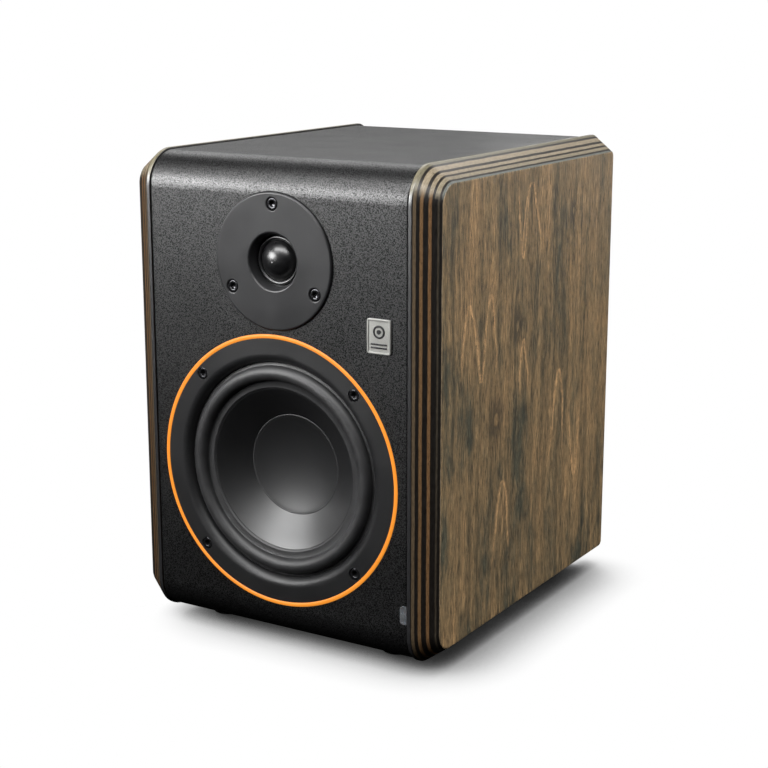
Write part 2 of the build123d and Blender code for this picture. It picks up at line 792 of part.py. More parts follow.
def inlet_pins():
    blades = []
    for x, z in ((-7, -2), (0, 2), (7, -2)):
        centre = (INLET_AT[0] + x, INLET_AT[1] + z)
        blades.append(plate(centre, 2, 4, 0.6, 198, AMP_OUTSIDE + 1))
    return Compound(children=blades)


SWITCH_PIVOT_Y = AMP_OUTSIDE - 3.0
SWITCH_TILT = 10.0


def power_switch_frame():
    face = AMP_OUTSIDE + 1.8
    body = plate(SWITCH_AT, 15, 21, 1.5, AMP_OUTSIDE, face)
    body += plate(SWITCH_AT, 13, 19, 1, 196, AMP_OUTSIDE)
    body -= plate(SWITCH_AT, 10.6, 17.4, 0.6, 200, face + 1)
    pivot = Pos(SWITCH_AT[0], SWITCH_PIVOT_Y, SWITCH_AT[1]) * Rot(0, 90, 0)
    return body - pivot * Cylinder(1.25, 12.6)


def power_switch_rocker():
    """Rocker drawn with its upper end pressed."""
    outline = Polyline(
        (4.8, 0.0),
        (6.4, 7.4),
        (0.5, 7.2),
        (-3.2, 2.0),
        (-3.2, -2.0),
        (0.5, -7.2),
        (6.4, -7.4),
        close=True,
    )
    body = extrude(Plane.YZ * make_face(outline), 5.0, both=True)
    body += Rot(0, 90, 0) * Cylinder(1.2, 12.4)
    body = Rot(SWITCH_TILT, 0, 0) * body
    return Pos(SWITCH_AT[0], SWITCH_PIVOT_Y, SWITCH_AT[1]) * body


def input_combo():
    """Combined three-pin and jack input socket."""
    face = AMP_OUTSIDE + 2
    x, z = COMBO_AT
    body = plate(COMBO_AT, 26, 31, 3, AMP_OUTSIDE, face)
    body += rod(COMBO_AT, 11.8, 186, AMP_OUTSIDE)
    body += block((x - 4.8, x + 4.8), (204, AMP_OUTSIDE), (z, z + 14.2))
    body -= rod(COMBO_AT, 9.2, face - 1.2, face + 1)
    body -= rod(COMBO_AT, 3.2, 192, face + 1)
    for at in around(COMBO_AT, 6.4, (90, 210, 330)):
        body -= rod(at, 1.3, 205, face + 1)
    return body - block((x - 3.6, x + 3.6), (206, face + 1), (z + 9.7, z + 13.2))


def input_release_tab():
    """Spring-loaded tab that frees a locked plug; it slides down towards the socket."""
    x, z = COMBO_AT
    foot_part = block((x - 3.5, x + 3.5), (206.4, AMP_OUTSIDE + 2), (z + 11.5, z + 13.1))
    thumb = block((x - 3.5, x + 3.5), (AMP_OUTSIDE + 2.2, AMP_OUTSIDE + 4), (z + 11.3, z + 14.6))
    bridge = block((x - 3.5, x + 3.5), (AMP_OUTSIDE + 1, AMP_OUTSIDE + 3), (z + 11.5, z + 13.1))
    return foot_part + bridge + thumb


def phono_socket():
    body = rod(PHONO_AT, 5.8, AMP_OUTSIDE, AMP_OUTSIDE + 1.4)
    body += rod(PHONO_AT, 4.15, AMP_OUTSIDE, AMP_OUTSIDE + 9.4)
    body += rod(PHONO_AT, 3.4, 200, AMP_OUTSIDE)
    return body - rod(PHONO_AT, 1.6, 204, AMP_OUTSIDE + 10)


def potentiometer(at):
    """Control with a threaded bush through the panel."""
    body = plate(at, 15, 15, 1, 202, CABINET_DEPTH)
    body += rod(at, 3.5, CABINET_DEPTH, AMP_OUTSIDE + 2.2)
    return body - rod(at, 3.05, 203, AMP_OUTSIDE + 3)


def control_pots():
    return Compound(children=[potentiometer(at) for at in (VOLUME_AT, TREBLE_AT, BASS_AT)])


def volume_shaft():
    return rod(VOLUME_AT, 3.0, 203.2, AMP_OUTSIDE + 9)


def control_knob(at, radius, height, shaft_front):
    """Ribbed knob; a small one has its shaft moulded on."""
    front = AMP_OUTSIDE + 2.6
    body = turned(
        at,
        (0, front),
        (radius + 0.4, front),
        (radius, front + height - 1.2),
        ((radius - 0.35, front + height - 0.35), (radius - 1.2, front + height)),
        (0, front + height),
    )
    ribs = 24
    for angle in range(0, 360, 360 // ribs):
        body -= rod(around(at, radius + 0.75, (angle,))[0], 0.7, front + 1.5, front + height + 1)
    top = front + height
    body -= block((at[0] - 0.5, at[0] + 0.5), (top - 0.5, top + 1), (at[1] + 2.5, at[1] + radius + 1))
    if shaft_front:
        return body + rod(at, 3.0, shaft_front, front + 1)
    body -= rod(at, 3.7, front - 1, front + 0.6)
    return body - rod(at, 3.0, front - 1, AMP_OUTSIDE + 9)


def lead(points, radii, radius):
    """A wire along straight runs joined by arcs."""
    path = FilletPolyline(*points, radius=radii)
    return sweep(Plane(origin=path @ 0, z_dir=path % 0) * Circle(radius), path)


def arc_radii(points):
    """The largest bend at each corner that its two runs leave room for."""
    places = [Vector(*point) for point in points]
    radii = []
    for before, here, after in zip(places, places[1:], places[2:]):
        run = min((here - before).length, (after - here).length)
        turn = math.radians((here - before).get_angle(after - here))
        radii.append(0.45 * run / math.tan(turn / 2))
    return radii


def speaker_leads():
    """Two wires to the woofer and two to the tweeter."""
    woofer_tag = WOOFER_Z + 42.75
    routes = []
    for start, end in ((18, 5), (4, -5)):
        routes.append(
            [
                (start, BOARD_FRONT, 148),
                (start, 140, 148),
                ((start * 2 + end) / 3, 110, 145),
                ((start + end * 2) / 3, 84, woofer_tag + 2),
                (end, 62, woofer_tag),
                (end, 41, woofer_tag),
            ]
        )
    for x, z in ((36, -4), (42, 4)):
        routes.append(
            [
                (x, BOARD_FRONT, 152),
                (x, 142, 152),
                (x, 116, 165),
                (x - 3, 92, 187),
                (x - 9, 68, 202 + z),
                (16, 46, TWEETER_Z + z),
                (16, TWEETER_BACK + 4.0, TWEETER_Z + z),
            ]
        )
    return Compound(children=[lead(points, arc_radii(points), 1.1) for points in routes])


# ---------------------------------------------------------------- write one file per sub-part
def placed(shape):
    return Pos(0, -CENTRE_Y, 0) * shape


PARTS = {
    "cabinet_wrap": cabinet_wrap(),
    "side_panel_left": side_panel(-1),
    "side_panel_right": side_panel(1),
    "side_panel_dowels": dowels(),
    "rear_panel": rear_panel(),
    "shelf_brace": shelf_brace(),
    "damping_felt": damping_felt(),
    "rubber_feet": rubber_feet(),
    "foot_screws": foot_screws(),
    "badge_plate": badge(),
    "status_light_pipe": status_light(),
    "status_light_board": status_board(),
    "woofer_frame": woofer_frame(),
    "woofer_trim_ring": trim_ring(),
    "woofer_gasket": woofer_gasket(),
    "woofer_surround": woofer_surround(),
    "woofer_cone": woofer_cone(),
    "woofer_dust_cap": woofer_dust_cap(),
    "woofer_voice_coil": woofer_voice_coil(),
    "woofer_spider": woofer_spider(),
    "woofer_top_plate": woofer_top_plate(),
    "woofer_magnet": woofer_magnet(),
    "woofer_yoke": woofer_yoke(),
    "woofer_terminals": woofer_terminals(),
    "woofer_screws": screws(
        WOOFER_SCREWS, front=0.4, head=3.25, head_height=2.2, shank=1.7, length=13.0
    ),
    "tweeter_faceplate": tweeter_faceplate(),
    "tweeter_gasket": tweeter_gasket(),
    "tweeter_dome": tweeter_dome(),
    "tweeter_surround": tweeter_surround(),
    "tweeter_voice_coil": tweeter_voice_coil(),
    "tweeter_top_plate": tweeter_top_plate(),
    "tweeter_magnet": tweeter_magnet(),
    "tweeter_yoke": tweeter_yoke(),
    "tweeter_terminals": tweeter_terminals(),
    "tweeter_screws": screws(
        TWEETER_SCREWS, front=-1.1, head=3.25, head_height=2.0, shank=1.5, length=14.0
    ),
    "port_tube": port_tube(),
    "amp_panel": amp_panel(),
    "amp_screws": amp_screws(),
    "heat_sink": heat_sink(),
    "heat_bar": heat_bar(),
    "power_chips": power_chips(),
    "amp_board": amp_board(),
    "board_standoffs": board_standoffs(),
    "capacitors": capacitors(),
    "transformer": transformer(),
    "transformer_clamp": transformer_clamp(),
    "transformer_bolt": transformer_bolt(),
    "speaker_leads": speaker_leads(),
    "mains_inlet": mains_inlet(),
    "inlet_pins": inlet_pins(),
    "power_switch_frame": power_switch_frame(),
    "power_switch_rocker": power_switch_rocker(),
    "input_combo": input_combo(),
    "input_release_tab": input_release_tab(),
    "phono_socket": phono_socket(),
    "control_pots": control_pots(),
    "volume_shaft": volume_shaft(),
    "volume_knob": control_knob(VOLUME_AT, 11.0, 10.8, None),
    "treble_knob": control_knob(TREBLE_AT, 7.0, 9.5, 203.2),
    "bass_knob": control_knob(BASS_AT, 7.0, 9.5, 203.2),
}

for name, shape in PARTS.items():
    export_step(placed(shape), f"parts/{name}.step")
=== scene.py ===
import bpy
import math
from mathutils import Matrix, Vector
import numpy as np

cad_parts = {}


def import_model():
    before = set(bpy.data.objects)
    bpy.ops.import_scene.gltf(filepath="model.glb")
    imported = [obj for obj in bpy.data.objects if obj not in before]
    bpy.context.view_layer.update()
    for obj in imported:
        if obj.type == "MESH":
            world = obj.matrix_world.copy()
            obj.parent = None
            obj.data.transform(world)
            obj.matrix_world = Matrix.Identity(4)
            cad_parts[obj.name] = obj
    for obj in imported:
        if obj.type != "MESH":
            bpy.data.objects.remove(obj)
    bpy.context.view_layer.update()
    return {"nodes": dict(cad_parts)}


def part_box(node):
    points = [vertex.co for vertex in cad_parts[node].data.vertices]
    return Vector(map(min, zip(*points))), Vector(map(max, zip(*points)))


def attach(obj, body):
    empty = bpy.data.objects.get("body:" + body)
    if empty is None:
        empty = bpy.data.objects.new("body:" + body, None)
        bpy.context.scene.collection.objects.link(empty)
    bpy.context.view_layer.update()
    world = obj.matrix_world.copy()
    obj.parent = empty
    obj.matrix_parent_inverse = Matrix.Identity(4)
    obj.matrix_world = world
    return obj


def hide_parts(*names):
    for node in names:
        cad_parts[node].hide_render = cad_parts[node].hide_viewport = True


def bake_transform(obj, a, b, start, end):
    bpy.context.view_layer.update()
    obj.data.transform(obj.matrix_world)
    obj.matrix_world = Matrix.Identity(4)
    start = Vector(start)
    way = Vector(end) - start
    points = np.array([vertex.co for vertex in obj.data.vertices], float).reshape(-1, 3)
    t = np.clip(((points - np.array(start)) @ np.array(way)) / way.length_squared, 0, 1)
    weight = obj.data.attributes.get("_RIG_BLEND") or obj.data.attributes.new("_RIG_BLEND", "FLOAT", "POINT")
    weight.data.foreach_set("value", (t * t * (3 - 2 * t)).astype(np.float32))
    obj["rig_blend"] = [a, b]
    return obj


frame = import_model()

# ------------------------------------------------------------------ sizes in mm, from the frame
MM = 0.001


def low(node, axis):
    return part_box(node)[0]["xyz".index(axis)] / MM


def high(node, axis):
    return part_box(node)[1]["xyz".index(axis)] / MM


def middle(node, axis):
    return (low(node, axis) + high(node, axis)) / 2


FRONT = low("woofer_frame", "y")                    # front of the baffle
WOOFER = (middle("woofer_trim_ring", "x"), middle("woofer_trim_ring", "z"))
TWEETER = (middle("tweeter_faceplate", "x"), middle("tweeter_faceplate", "z"))
HALF_BODY = low("side_panel_right", "x")
PANEL_THICKNESS = high("side_panel_right", "x") - HALF_BODY
PANEL_LAND = 2.0
PANEL_BEVEL = 9.5
PANEL_FRONT_RADIUS = 20.0
PANEL_REAR_RADIUS = 12.5
AMP_OUTSIDE = high("amp_panel", "y")
KNOBS = {
    name: (middle(f"{name}_knob", "x"), middle(f"{name}_knob", "z"))
    for name in ("volume", "treble", "bass")
}
SCREW_HEAD = 3.25                                   # radius

# Woofer section, as radii and depths behind the front of the baffle.
FLANGE_INNER = 66.0
WOOFER_SCREW_CIRCLE = 69.6
SURROUND_DEPTH = 4.5
SURROUND_SKIN = 0.8
SURROUND_RIM = 60.0
ROLL_OUTER = 58.3
ROLL_INNER = 49.9
CONE_EDGE = 45.0
CONE_RIM_DEPTH = 5.3
NECK_RADIUS = 13.15
CONE_NECK_DEPTH = 28.0
CAP_RADIUS = 28.0
CAP_DISH = 5.2
SPIDER_DEPTH = 29.4
SPIDER_SKIN = 0.6
SPIDER_RIM = 41.0
SPIDER_WAVES = (17.0, 35.0)

# Tweeter section.
DOME_RADIUS = 10.9
DOME_BASE = 4.8
TWEETER_ROLL = (11.1, 13.4)
TWEETER_SKIRT = 16.0
TWEETER_SCREW_CIRCLE = 30.5


# ------------------------------------------------------------------ materials
def shade(red, green, blue):
    """A display colour, 0 to 255, as linear light."""
    parts = []
    for value in (red, green, blue):
        value /= 255
        parts.append(value / 12.92 if value <= 0.04045 else ((value + 0.055) / 1.055) ** 2.4)
    return tuple(parts)


SOCKETS = {
    "metallic": "Metallic",
    "specular": "Specular IOR Level",
    "coat": "Coat Weight",
    "coat_roughness": "Coat Roughness",
    "sheen": "Sheen Weight",
    "subsurface": "Subsurface Weight",
    "transmission": "Transmission Weight",
    "glow": "Emission Strength",
}


class Finish:
    """A Principled material whose patterns are measured in mm on the object."""

    def __init__(self, name, colour, roughness, **fixed):
        self.material = bpy.data.materials.new(name)
        self.material.use_nodes = True
        self.nodes = self.material.node_tree.nodes
        self.links = self.material.node_tree.links
        self.shader = self.nodes["Principled BSDF"]
        self.set("Base Color", (*shade(*colour), 1))
        self.set("Roughness", roughness)
        for key, value in fixed.items():
            self.set(SOCKETS[key], value)
        coordinates = self.nodes.new("ShaderNodeTexCoord")
        self.place = coordinates.outputs["Object"]
        self.normal = coordinates.outputs["Normal"]

    def feed(self, socket, value):
        if isinstance(value, bpy.types.NodeSocket):
            self.links.new(value, socket)
        elif isinstance(value, tuple) and socket.type == "RGBA" and len(value) == 3:
            socket.default_value = (*shade(*value), 1)
        else:
            socket.default_value = value

    def set(self, socket, value):
        self.feed(self.shader.inputs[socket], value)

    def math(self, operation, first, second=0.0, clamp=False):
        node = self.nodes.new("ShaderNodeMath")
        node.operation = operation
        node.use_clamp = clamp
        self.feed(node.inputs[0], first)
        self.feed(node.inputs[1], second)
        return node.outputs[0]

    def vector(self, operation, first, second):
        node = self.nodes.new("ShaderNodeVectorMath")
        node.operation = operation
        self.feed(node.inputs[0], first)
        self.feed(node.inputs[1], second)
        return node.outputs["Value" if operation == "LENGTH" else "Vector"]

    def part(self, vector, axis):
        node = self.nodes.new("ShaderNodeSeparateXYZ")
        self.links.new(vector, node.inputs[0])
        return node.outputs[axis]

    def along(self, axis):
        return self.part(self.place, axis)

    def facing(self, axis):
        return self.part(self.normal, axis)

    def noise(self, size, stretch=(1, 1, 1), detail=2.0, rough=0.5, twist=0.0, place=None):
        node = self.nodes.new("ShaderNodeTexNoise")
        self.links.new(self.vector("MULTIPLY", place or self.place, stretch), node.inputs["Vector"])
        node.inputs["Scale"].default_value = 1 / (size * MM)
        node.inputs["Detail"].default_value = detail
        node.inputs["Roughness"].default_value = rough
        node.inputs["Distortion"].default_value = twist
        return node.outputs["Fac"]

    def cells(self, size):
        node = self.nodes.new("ShaderNodeTexVoronoi")
        self.links.new(self.place, node.inputs["Vector"])
        node.inputs["Scale"].default_value = 1 / (size * MM)
        return node.outputs["Distance"]

    def ramp(self, value, *stops):
        """Stops are (position, display colour or grey number)."""
        node = self.nodes.new("ShaderNodeValToRGB")
        self.links.new(value, node.inputs[0])
        marks = node.color_ramp.elements
        while len(marks) < len(stops):
            marks.new(0.5)
        for mark, (position, colour) in zip(marks, stops):
            mark.position = position
        for mark, (position, colour) in zip(marks, stops):
            plain = isinstance(colour, (int, float))
            mark.color = (colour, colour, colour, 1) if plain else (*shade(*colour), 1)
        return node.outputs["Color"]

    def mix(self, amount, first, second, how="MIX"):
        node = self.nodes.new("ShaderNodeMix")
        node.data_type = "RGBA"
        node.blend_type = how
        self.feed(node.inputs[0], amount)
        self.feed(node.inputs[6], first)
        self.feed(node.inputs[7], second)
        return node.outputs[2]

    def bump(self, height, depth, under=None):
        """A relief of depth mm, over another relief if one is given."""
        node = self.nodes.new("ShaderNodeBump")
        node.inputs["Distance"].default_value = depth * MM
        self.links.new(height, node.inputs["Height"])
        if under:
            self.links.new(under, node.inputs["Normal"])
        return node.outputs["Normal"]

    def radius_from(self, centre):
        """Distance in metres from a front-to-back axis."""
        flat = self.vector("MULTIPLY", self.place, (1, 0, 1))
        offset = self.vector("SUBTRACT", flat, (centre[0] * MM, 0, centre[1] * MM))
        return self.vector("LENGTH", offset, (0, 0, 0))


def moulded(name, colour, roughness, grain=0.5, depth=0.01, spread=0.08, **fixed):
    """Moulded, painted, sawn or machined stock: fine grain and a cloudy sheen."""
    finish = Finish(name, colour, roughness, **fixed)
    cloud = finish.noise(18, detail=3)
    fine = finish.noise(grain, detail=3, rough=0.6)
    darker = tuple(part * 0.86 for part in colour)
    lighter = tuple(min(255, part * 1.1 + 3) for part in colour)
    finish.set("Base Color", finish.ramp(finish.mix(0.5, cloud, fine), (0.3, darker), (0.7, lighter)))
    finish.set("Roughness", finish.ramp(cloud, (0.3, roughness - spread), (0.7, roughness + spread)))
    finish.set("Normal", finish.bump(fine, depth))
    return finish.material


def brushed(name, colour, roughness, stretch):
    """Metal with straight brush marks."""
    finish = Finish(name, colour, roughness, metallic=1.0)
    lines = finish.noise(0.22, stretch=stretch, detail=4, rough=0.7)
    cloud = finish.noise(9, detail=3)
    darker = tuple(part * 0.8 for part in colour)
    finish.set("Base Color", finish.ramp(finish.mix(0.4, lines, cloud), (0.3, darker), (0.7, colour)))
    finish.set("Roughness", finish.ramp(lines, (0.25, roughness - 0.08), (0.75, roughness + 0.1)))
    finish.set("Normal", finish.bump(lines, 0.006))
    return finish.material


def wrap_black():
    """Vinyl wrap with a fine leather grain: small glossy specks on matt black, and paler specks in its
    colour that are painted glints.
    """
    finish = Finish("vinyl_wrap", (8, 8, 8), 0.46, specular=0.14, coat_roughness=0.41)
    pebble = finish.cells(0.8)
    speck = finish.noise(0.5, detail=3, rough=0.75)
    cloud = finish.noise(60, detail=2)
    grit_and_painted_glints = finish.noise(0.46, detail=1)
    # Paler specks in the base colour are painted glints on the grain's peaks; the coat weight below gives
    # real glossy specks.
    finish.set("Base Color", finish.ramp(grit_and_painted_glints, (0.42, (1, 1, 1)), (0.54, (3, 3, 3)), (0.63, (22, 22, 23))))
    finish.set("Coat Weight", finish.ramp(grit_and_painted_glints, (0.38, 0.0), (0.46, 0.45), (0.56, 1.0)))
    finish.set("Roughness", finish.ramp(finish.mix(0.35, speck, cloud), (0.38, 0.28), (0.62, 0.56)))
    finish.set("Normal", finish.bump(finish.mix(0.5, pebble, speck), 0.12))
    return finish.material


def frame_black():
    """Satin paint, slightly grained on the flat flange."""
    finish = Finish("woofer_frame_paint", (18, 18, 19), 0.5, specular=0.42)
    fine = finish.noise(0.5, detail=3, rough=0.65)
    cloud = finish.noise(25, detail=2)
    flange = finish.math("GREATER_THAN", finish.radius_from(WOOFER), FLANGE_INNER * MM)
    finish.set("Base Color", finish.ramp(fine, (0.35, (3, 3, 4)), (0.65, (22, 22, 23))))
    finish.set("Roughness", finish.ramp(finish.mix(0.4, fine, cloud), (0.35, 0.40), (0.65, 0.54)))
    finish.set("Normal", finish.bump(finish.mix(flange, (128, 128, 128), fine), 0.05))
    return finish.material


# Plies as (from, to, colour), measured through the panel from the cabinet to the outer face.
UPRIGHT_PLIES = (
    (0.000, 0.140, (34, 35, 38)),
    (0.168, 0.255, (90, 78, 62)),
    (0.356, 0.446, (108, 84, 58)),
    (0.590, 0.678, (112, 85, 58)),
    (0.835, 0.885, (60, 55, 47)),
    # The face ply's edge: its own paler tone, with a painted highlight along the rounded edge.
    (0.970, 1.000, (138, 124, 104)),
)
# The same plies, lighter, for bevels that face up: painted light from above, with a painted sheen.
PAINTED_LIT_TOP_PLIES = (
    (0.000, 0.225, (108, 104, 87)),
    (0.305, 0.470, (143, 133, 114)),
    (0.560, 0.670, (143, 133, 114)),
    (0.740, 0.862, (136, 128, 110)),
    # The face ply's edge: grey-blue, with a painted highlight along the rounded edge.
    (0.925, 1.000, (104, 110, 108)),
)


def ply_stripes(finish, depth, between, plies):
    """Bands of colour through the panel, with dark stain between them."""
    edge = 0.007
    stops = []
    for start, end, colour in plies:
        stops += [(start - edge, between), (start + edge, colour)]
        stops += [(end - edge, colour), (end + edge, between)]
    return finish.ramp(depth, *stops)


def plywood_edge():
    """Stained plies cut through by the bevel; the bevels that face up take a lighter copy of the plies,
    painted light from above with a painted sheen.
    """
    finish = Finish("plywood_edge", (90, 68, 48), 0.38, coat=0.2, coat_roughness=0.26)
    wave = finish.noise(16, stretch=(0.2, 1, 1), detail=2)
    depth = finish.math("SUBTRACT", finish.math("ABSOLUTE", finish.along("X")), HALF_BODY * MM)
    depth = finish.math("DIVIDE", depth, PANEL_THICKNESS * MM)
    sway = finish.math("MULTIPLY", finish.math("SUBTRACT", wave, 0.5), 0.03)
    depth = finish.math("ADD", depth, sway)
    upright = ply_stripes(finish, depth, (22, 19, 17), UPRIGHT_PLIES)
    top = ply_stripes(finish, depth, (30, 24, 18), PAINTED_LIT_TOP_PLIES)
    # Where the bevel faces up, the lighter copy is mixed in: painted light from above.
    painted_top_light = finish.ramp(finish.facing("Z"), (0.2, 0.0), (0.45, 1.0))
    plies = finish.mix(painted_top_light, upright, top)
    fibres = finish.noise(0.45, stretch=(1, 0.16, 0.16), detail=3, rough=0.65)
    pores = finish.noise(0.8, stretch=(1, 0.4, 0.4), detail=2)
    tint = finish.ramp(fibres, (0.3, (150, 138, 122)), (0.7, (255, 250, 242)))
    fibred_plies = finish.mix(0.75, plies, tint, "MULTIPLY")
    finish.set("Base Color", finish.mix(finish.ramp(pores, (0.62, 0.0), (0.74, 0.5)), fibred_plies, (26, 20, 15)))
    finish.set("Roughness", finish.ramp(fibres, (0.3, 0.30), (0.7, 0.46)))
    finish.set("Normal", finish.bump(plies, 0.02, finish.bump(fibres, 0.035)))
    return finish.material


KNOTS = ((49.0, 232.0, 3.0), (-20.0, 176.0, 4.5), (-44.0, 128.0, 5.5))    # y, z and size on the faces
# Pale pointed growth lines: y and z of the tip, half-width, and drop to the open end (up if negative).
FIGURES = (
    (-3.0, 254.0, 13.0, 46.0),
    (-13.0, 212.0, 9.0, -48.0),
    (-75.0, 197.0, 11.0, 44.0),
    (-52.0, 199.0, 9.0, 50.0),
    (-62.0, 152.0, 6.0, -40.0),
    (-12.0, 168.0, 6.0, 34.0),
    (34.0, 142.0, 10.0, 60.0),
    (-34.0, 92.0, 12.0, 56.0),
    (58.0, 70.0, 8.0, -52.0),
)


def veneer_face():
    """Flat-sawn face veneer: fibres along Z, pale pointed figures, knots and blotchy grey stain."""
    finish = Finish("veneer_face", (111, 94, 73), 0.5)
    upward = finish.math("DIVIDE", finish.along("Z"), MM)
    drift = finish.noise(40, stretch=(1, 1, 0.45), detail=3, rough=0.55)
    sway = finish.math("MULTIPLY", finish.math("SUBTRACT", drift, 0.5), 15)
    across = finish.math("ADD", finish.math("DIVIDE", finish.along("Y"), MM), sway)

    def knot(y, z, size):
        """1 at the knot's centre, falling away round it."""
        offset_y = finish.math("DIVIDE", finish.math("SUBTRACT", across, y), size)
        offset_z = finish.math("DIVIDE", finish.math("SUBTRACT", upward, z), size * 1.7)
        square_y = finish.math("MULTIPLY", offset_y, offset_y)
        square_z = finish.math("MULTIPLY", offset_z, offset_z)
        return finish.math("DIVIDE", 1.0, finish.math("ADD", 1.0, finish.math("ADD", square_y, square_z)))

    def pointed_line(y, z, half, drop):
        """1 along both legs of a pointed arch, fading towards its open end."""
        part = finish.math("DIVIDE", finish.math("SUBTRACT", z, upward), drop, clamp=True)
        reach = finish.math("MULTIPLY", finish.math("POWER", part, 0.6), half)
        aside = finish.math("ABSOLUTE", finish.math("SUBTRACT", ragged, y))
        miss = finish.math("ABSOLUTE", finish.math("SUBTRACT", aside, reach))
        line = finish.ramp(finish.math("DIVIDE", miss, 1.5), (0.05, 1.0), (0.4, 0.4), (1.0, 0.0))
        inside = finish.ramp(part, (0.0, 0.0), (0.02, 1.0), (0.6, 0.7), (1.0, 0.0))
        return finish.math("MULTIPLY", line, inside)

    swirl = knot(*KNOTS[0])
    for place in KNOTS[1:]:
        swirl = finish.math("ADD", swirl, knot(*place))
    grain_place = finish.nodes.new("ShaderNodeCombineXYZ")
    bent = finish.math("ADD", across, finish.math("MULTIPLY", swirl, 5))
    finish.links.new(finish.math("MULTIPLY", bent, MM), grain_place.inputs[1])
    finish.links.new(finish.along("Z"), grain_place.inputs[2])
    grain_at = grain_place.outputs[0]
    fibres = finish.noise(0.9, stretch=(1, 1, 0.09), detail=4, rough=0.85, place=grain_at)
    streaks = finish.noise(5.0, stretch=(1, 1, 0.025), detail=5, rough=0.75, place=grain_at)
    dashes = finish.noise(1.3, stretch=(1, 1, 0.1), detail=3, rough=0.65, place=grain_at)
    ragged = finish.math("ADD", across, finish.math("MULTIPLY", finish.math("SUBTRACT", fibres, 0.5), 9))
    blotch = finish.noise(26, stretch=(1, 1, 0.3), detail=5, rough=0.7)

    pale_lines = pointed_line(*FIGURES[0])
    for place in FIGURES[1:]:
        pale_lines = finish.math("MAXIMUM", pale_lines, pointed_line(*place))

    ground = finish.ramp(blotch, (0.37, (82, 84, 75)), (0.5, (144, 126, 99)), (0.66, (172, 145, 111)))
    streak_tint = finish.ramp(streaks, (0.38, (152, 152, 145)), (0.61, (255, 244, 226)))
    ground = finish.mix(0.85, ground, streak_tint, "MULTIPLY")
    fibre_tint = finish.ramp(fibres, (0.39, (66, 67, 64)), (0.56, (255, 252, 245)))
    ground = finish.mix(0.85, ground, fibre_tint, "MULTIPLY")
    ground = finish.mix(finish.ramp(dashes, (0.56, 0.0), (0.66, 0.6)), ground, (66, 60, 49))
    glints = finish.ramp(fibres, (0.6, 0.0), (0.72, 0.5))
    ground = finish.mix(glints, ground, (206, 180, 140))
    broken = finish.ramp(finish.noise(3, detail=4, rough=0.7), (0.36, 0.1), (0.58, 0.8))
    ground = finish.mix(finish.math("MULTIPLY", pale_lines, broken), ground, (224, 176, 122))
    halo = finish.ramp(swirl, (0.2, 0.0), (0.5, 0.55), (0.84, 0.7), (0.93, 0.0))
    ground = finish.mix(halo, ground, (50, 45, 36))
    finish.set("Base Color", ground)
    finish.set("Roughness", finish.ramp(fibres, (0.3, 0.55), (0.7, 0.40)))
    finish.set("Normal", finish.bump(fibres, 0.06, finish.bump(dashes, -0.04)))
    return finish.material


def trim_orange():
    # Painted glow: the emission strength and colour make the painted ring shine though it is no lamp.
    finish = Finish("trim_paint_painted_glow", (140, 74, 20), 0.5, glow=0.68, specular=0.25)
    fine = finish.noise(0.6, detail=3)
    cloud = finish.noise(12, detail=2)
    paint = finish.ramp(finish.mix(0.5, fine, cloud), (0.3, (132, 66, 16)), (0.7, (148, 80, 24)))
    finish.set("Base Color", paint)
    finish.set("Emission Color", (*shade(250, 156, 50), 1))
    finish.set("Roughness", finish.ramp(cloud, (0.3, 0.45), (0.7, 0.55)))
    finish.set("Normal", finish.bump(fine, 0.006))
    return finish.material


def cone_black():
    """Coated paper: pressed fibres, a soft sheen and faint rings from the mould."""
    finish = Finish("cone_pulp", (18, 18, 19), 0.40, specular=0.72)
    fibres = finish.noise(0.9, detail=5, rough=0.65, twist=0.6)
    cloud = finish.noise(14, detail=2)
    radius = finish.radius_from(WOOFER)
    rings = finish.math("SINE", finish.math("MULTIPLY", radius, 2 * math.pi / (1.4 * MM)))
    pulp = finish.mix(0.4, fibres, cloud)
    finish.set("Base Color", finish.ramp(pulp, (0.3, (8, 8, 9)), (0.7, (17, 17, 18))))
    finish.set("Roughness", finish.ramp(fibres, (0.3, 0.35), (0.7, 0.43)))
    finish.set("Normal", finish.bump(rings, 0.0012, finish.bump(fibres, 0.012)))
    return finish.material


def cap_black():
    finish = Finish("dust_cap_pulp", (26, 26, 27), 0.42)
    fibres = finish.noise(0.7, detail=4, rough=0.7, twist=0.4)
    finish.set("Base Color", finish.ramp(fibres, (0.3, (8, 8, 9)), (0.7, (17, 17, 18))))
    finish.set("Roughness", finish.ramp(fibres, (0.3, 0.41), (0.7, 0.50)))
    finish.set("Normal", finish.bump(fibres, 0.014))
    return finish.material


def surround_rubber():
    finish = Finish("surround_rubber", (26, 26, 27), 0.52)
    fine = finish.noise(0.5, detail=3, rough=0.6)
    dust = finish.noise(7, detail=4, rough=0.7)
    finish.set("Base Color", finish.ramp(dust, (0.35, (20, 20, 21)), (0.75, (33, 33, 34))))
    finish.set("Roughness", finish.ramp(finish.mix(0.5, fine, dust), (0.3, 0.47), (0.7, 0.59)))
    finish.set("Normal", finish.bump(fine, 0.008))
    return finish.material


def dome_silk():
    """Doped silk: a fine weave under a glossy coating."""
    finish = Finish("dome_silk", (22, 22, 23), 0.32)
    thread = 2 * math.pi / (0.32 * MM)
    weave = [
        finish.math("SINE", finish.math("MULTIPLY", finish.along(axis), thread))
        for axis in ("X", "Z")
    ]
    cloth = finish.math("MULTIPLY", weave[0], weave[1])
    cloud = finish.noise(3, detail=2)
    finish.set("Base Color", finish.ramp(cloud, (0.3, (9, 9, 10)), (0.7, (14, 14, 15))))
    finish.set("Roughness", finish.ramp(cloud, (0.3, 0.27), (0.7, 0.33)))
    finish.set("Normal", finish.bump(cloth, 0.002))
    return finish.material


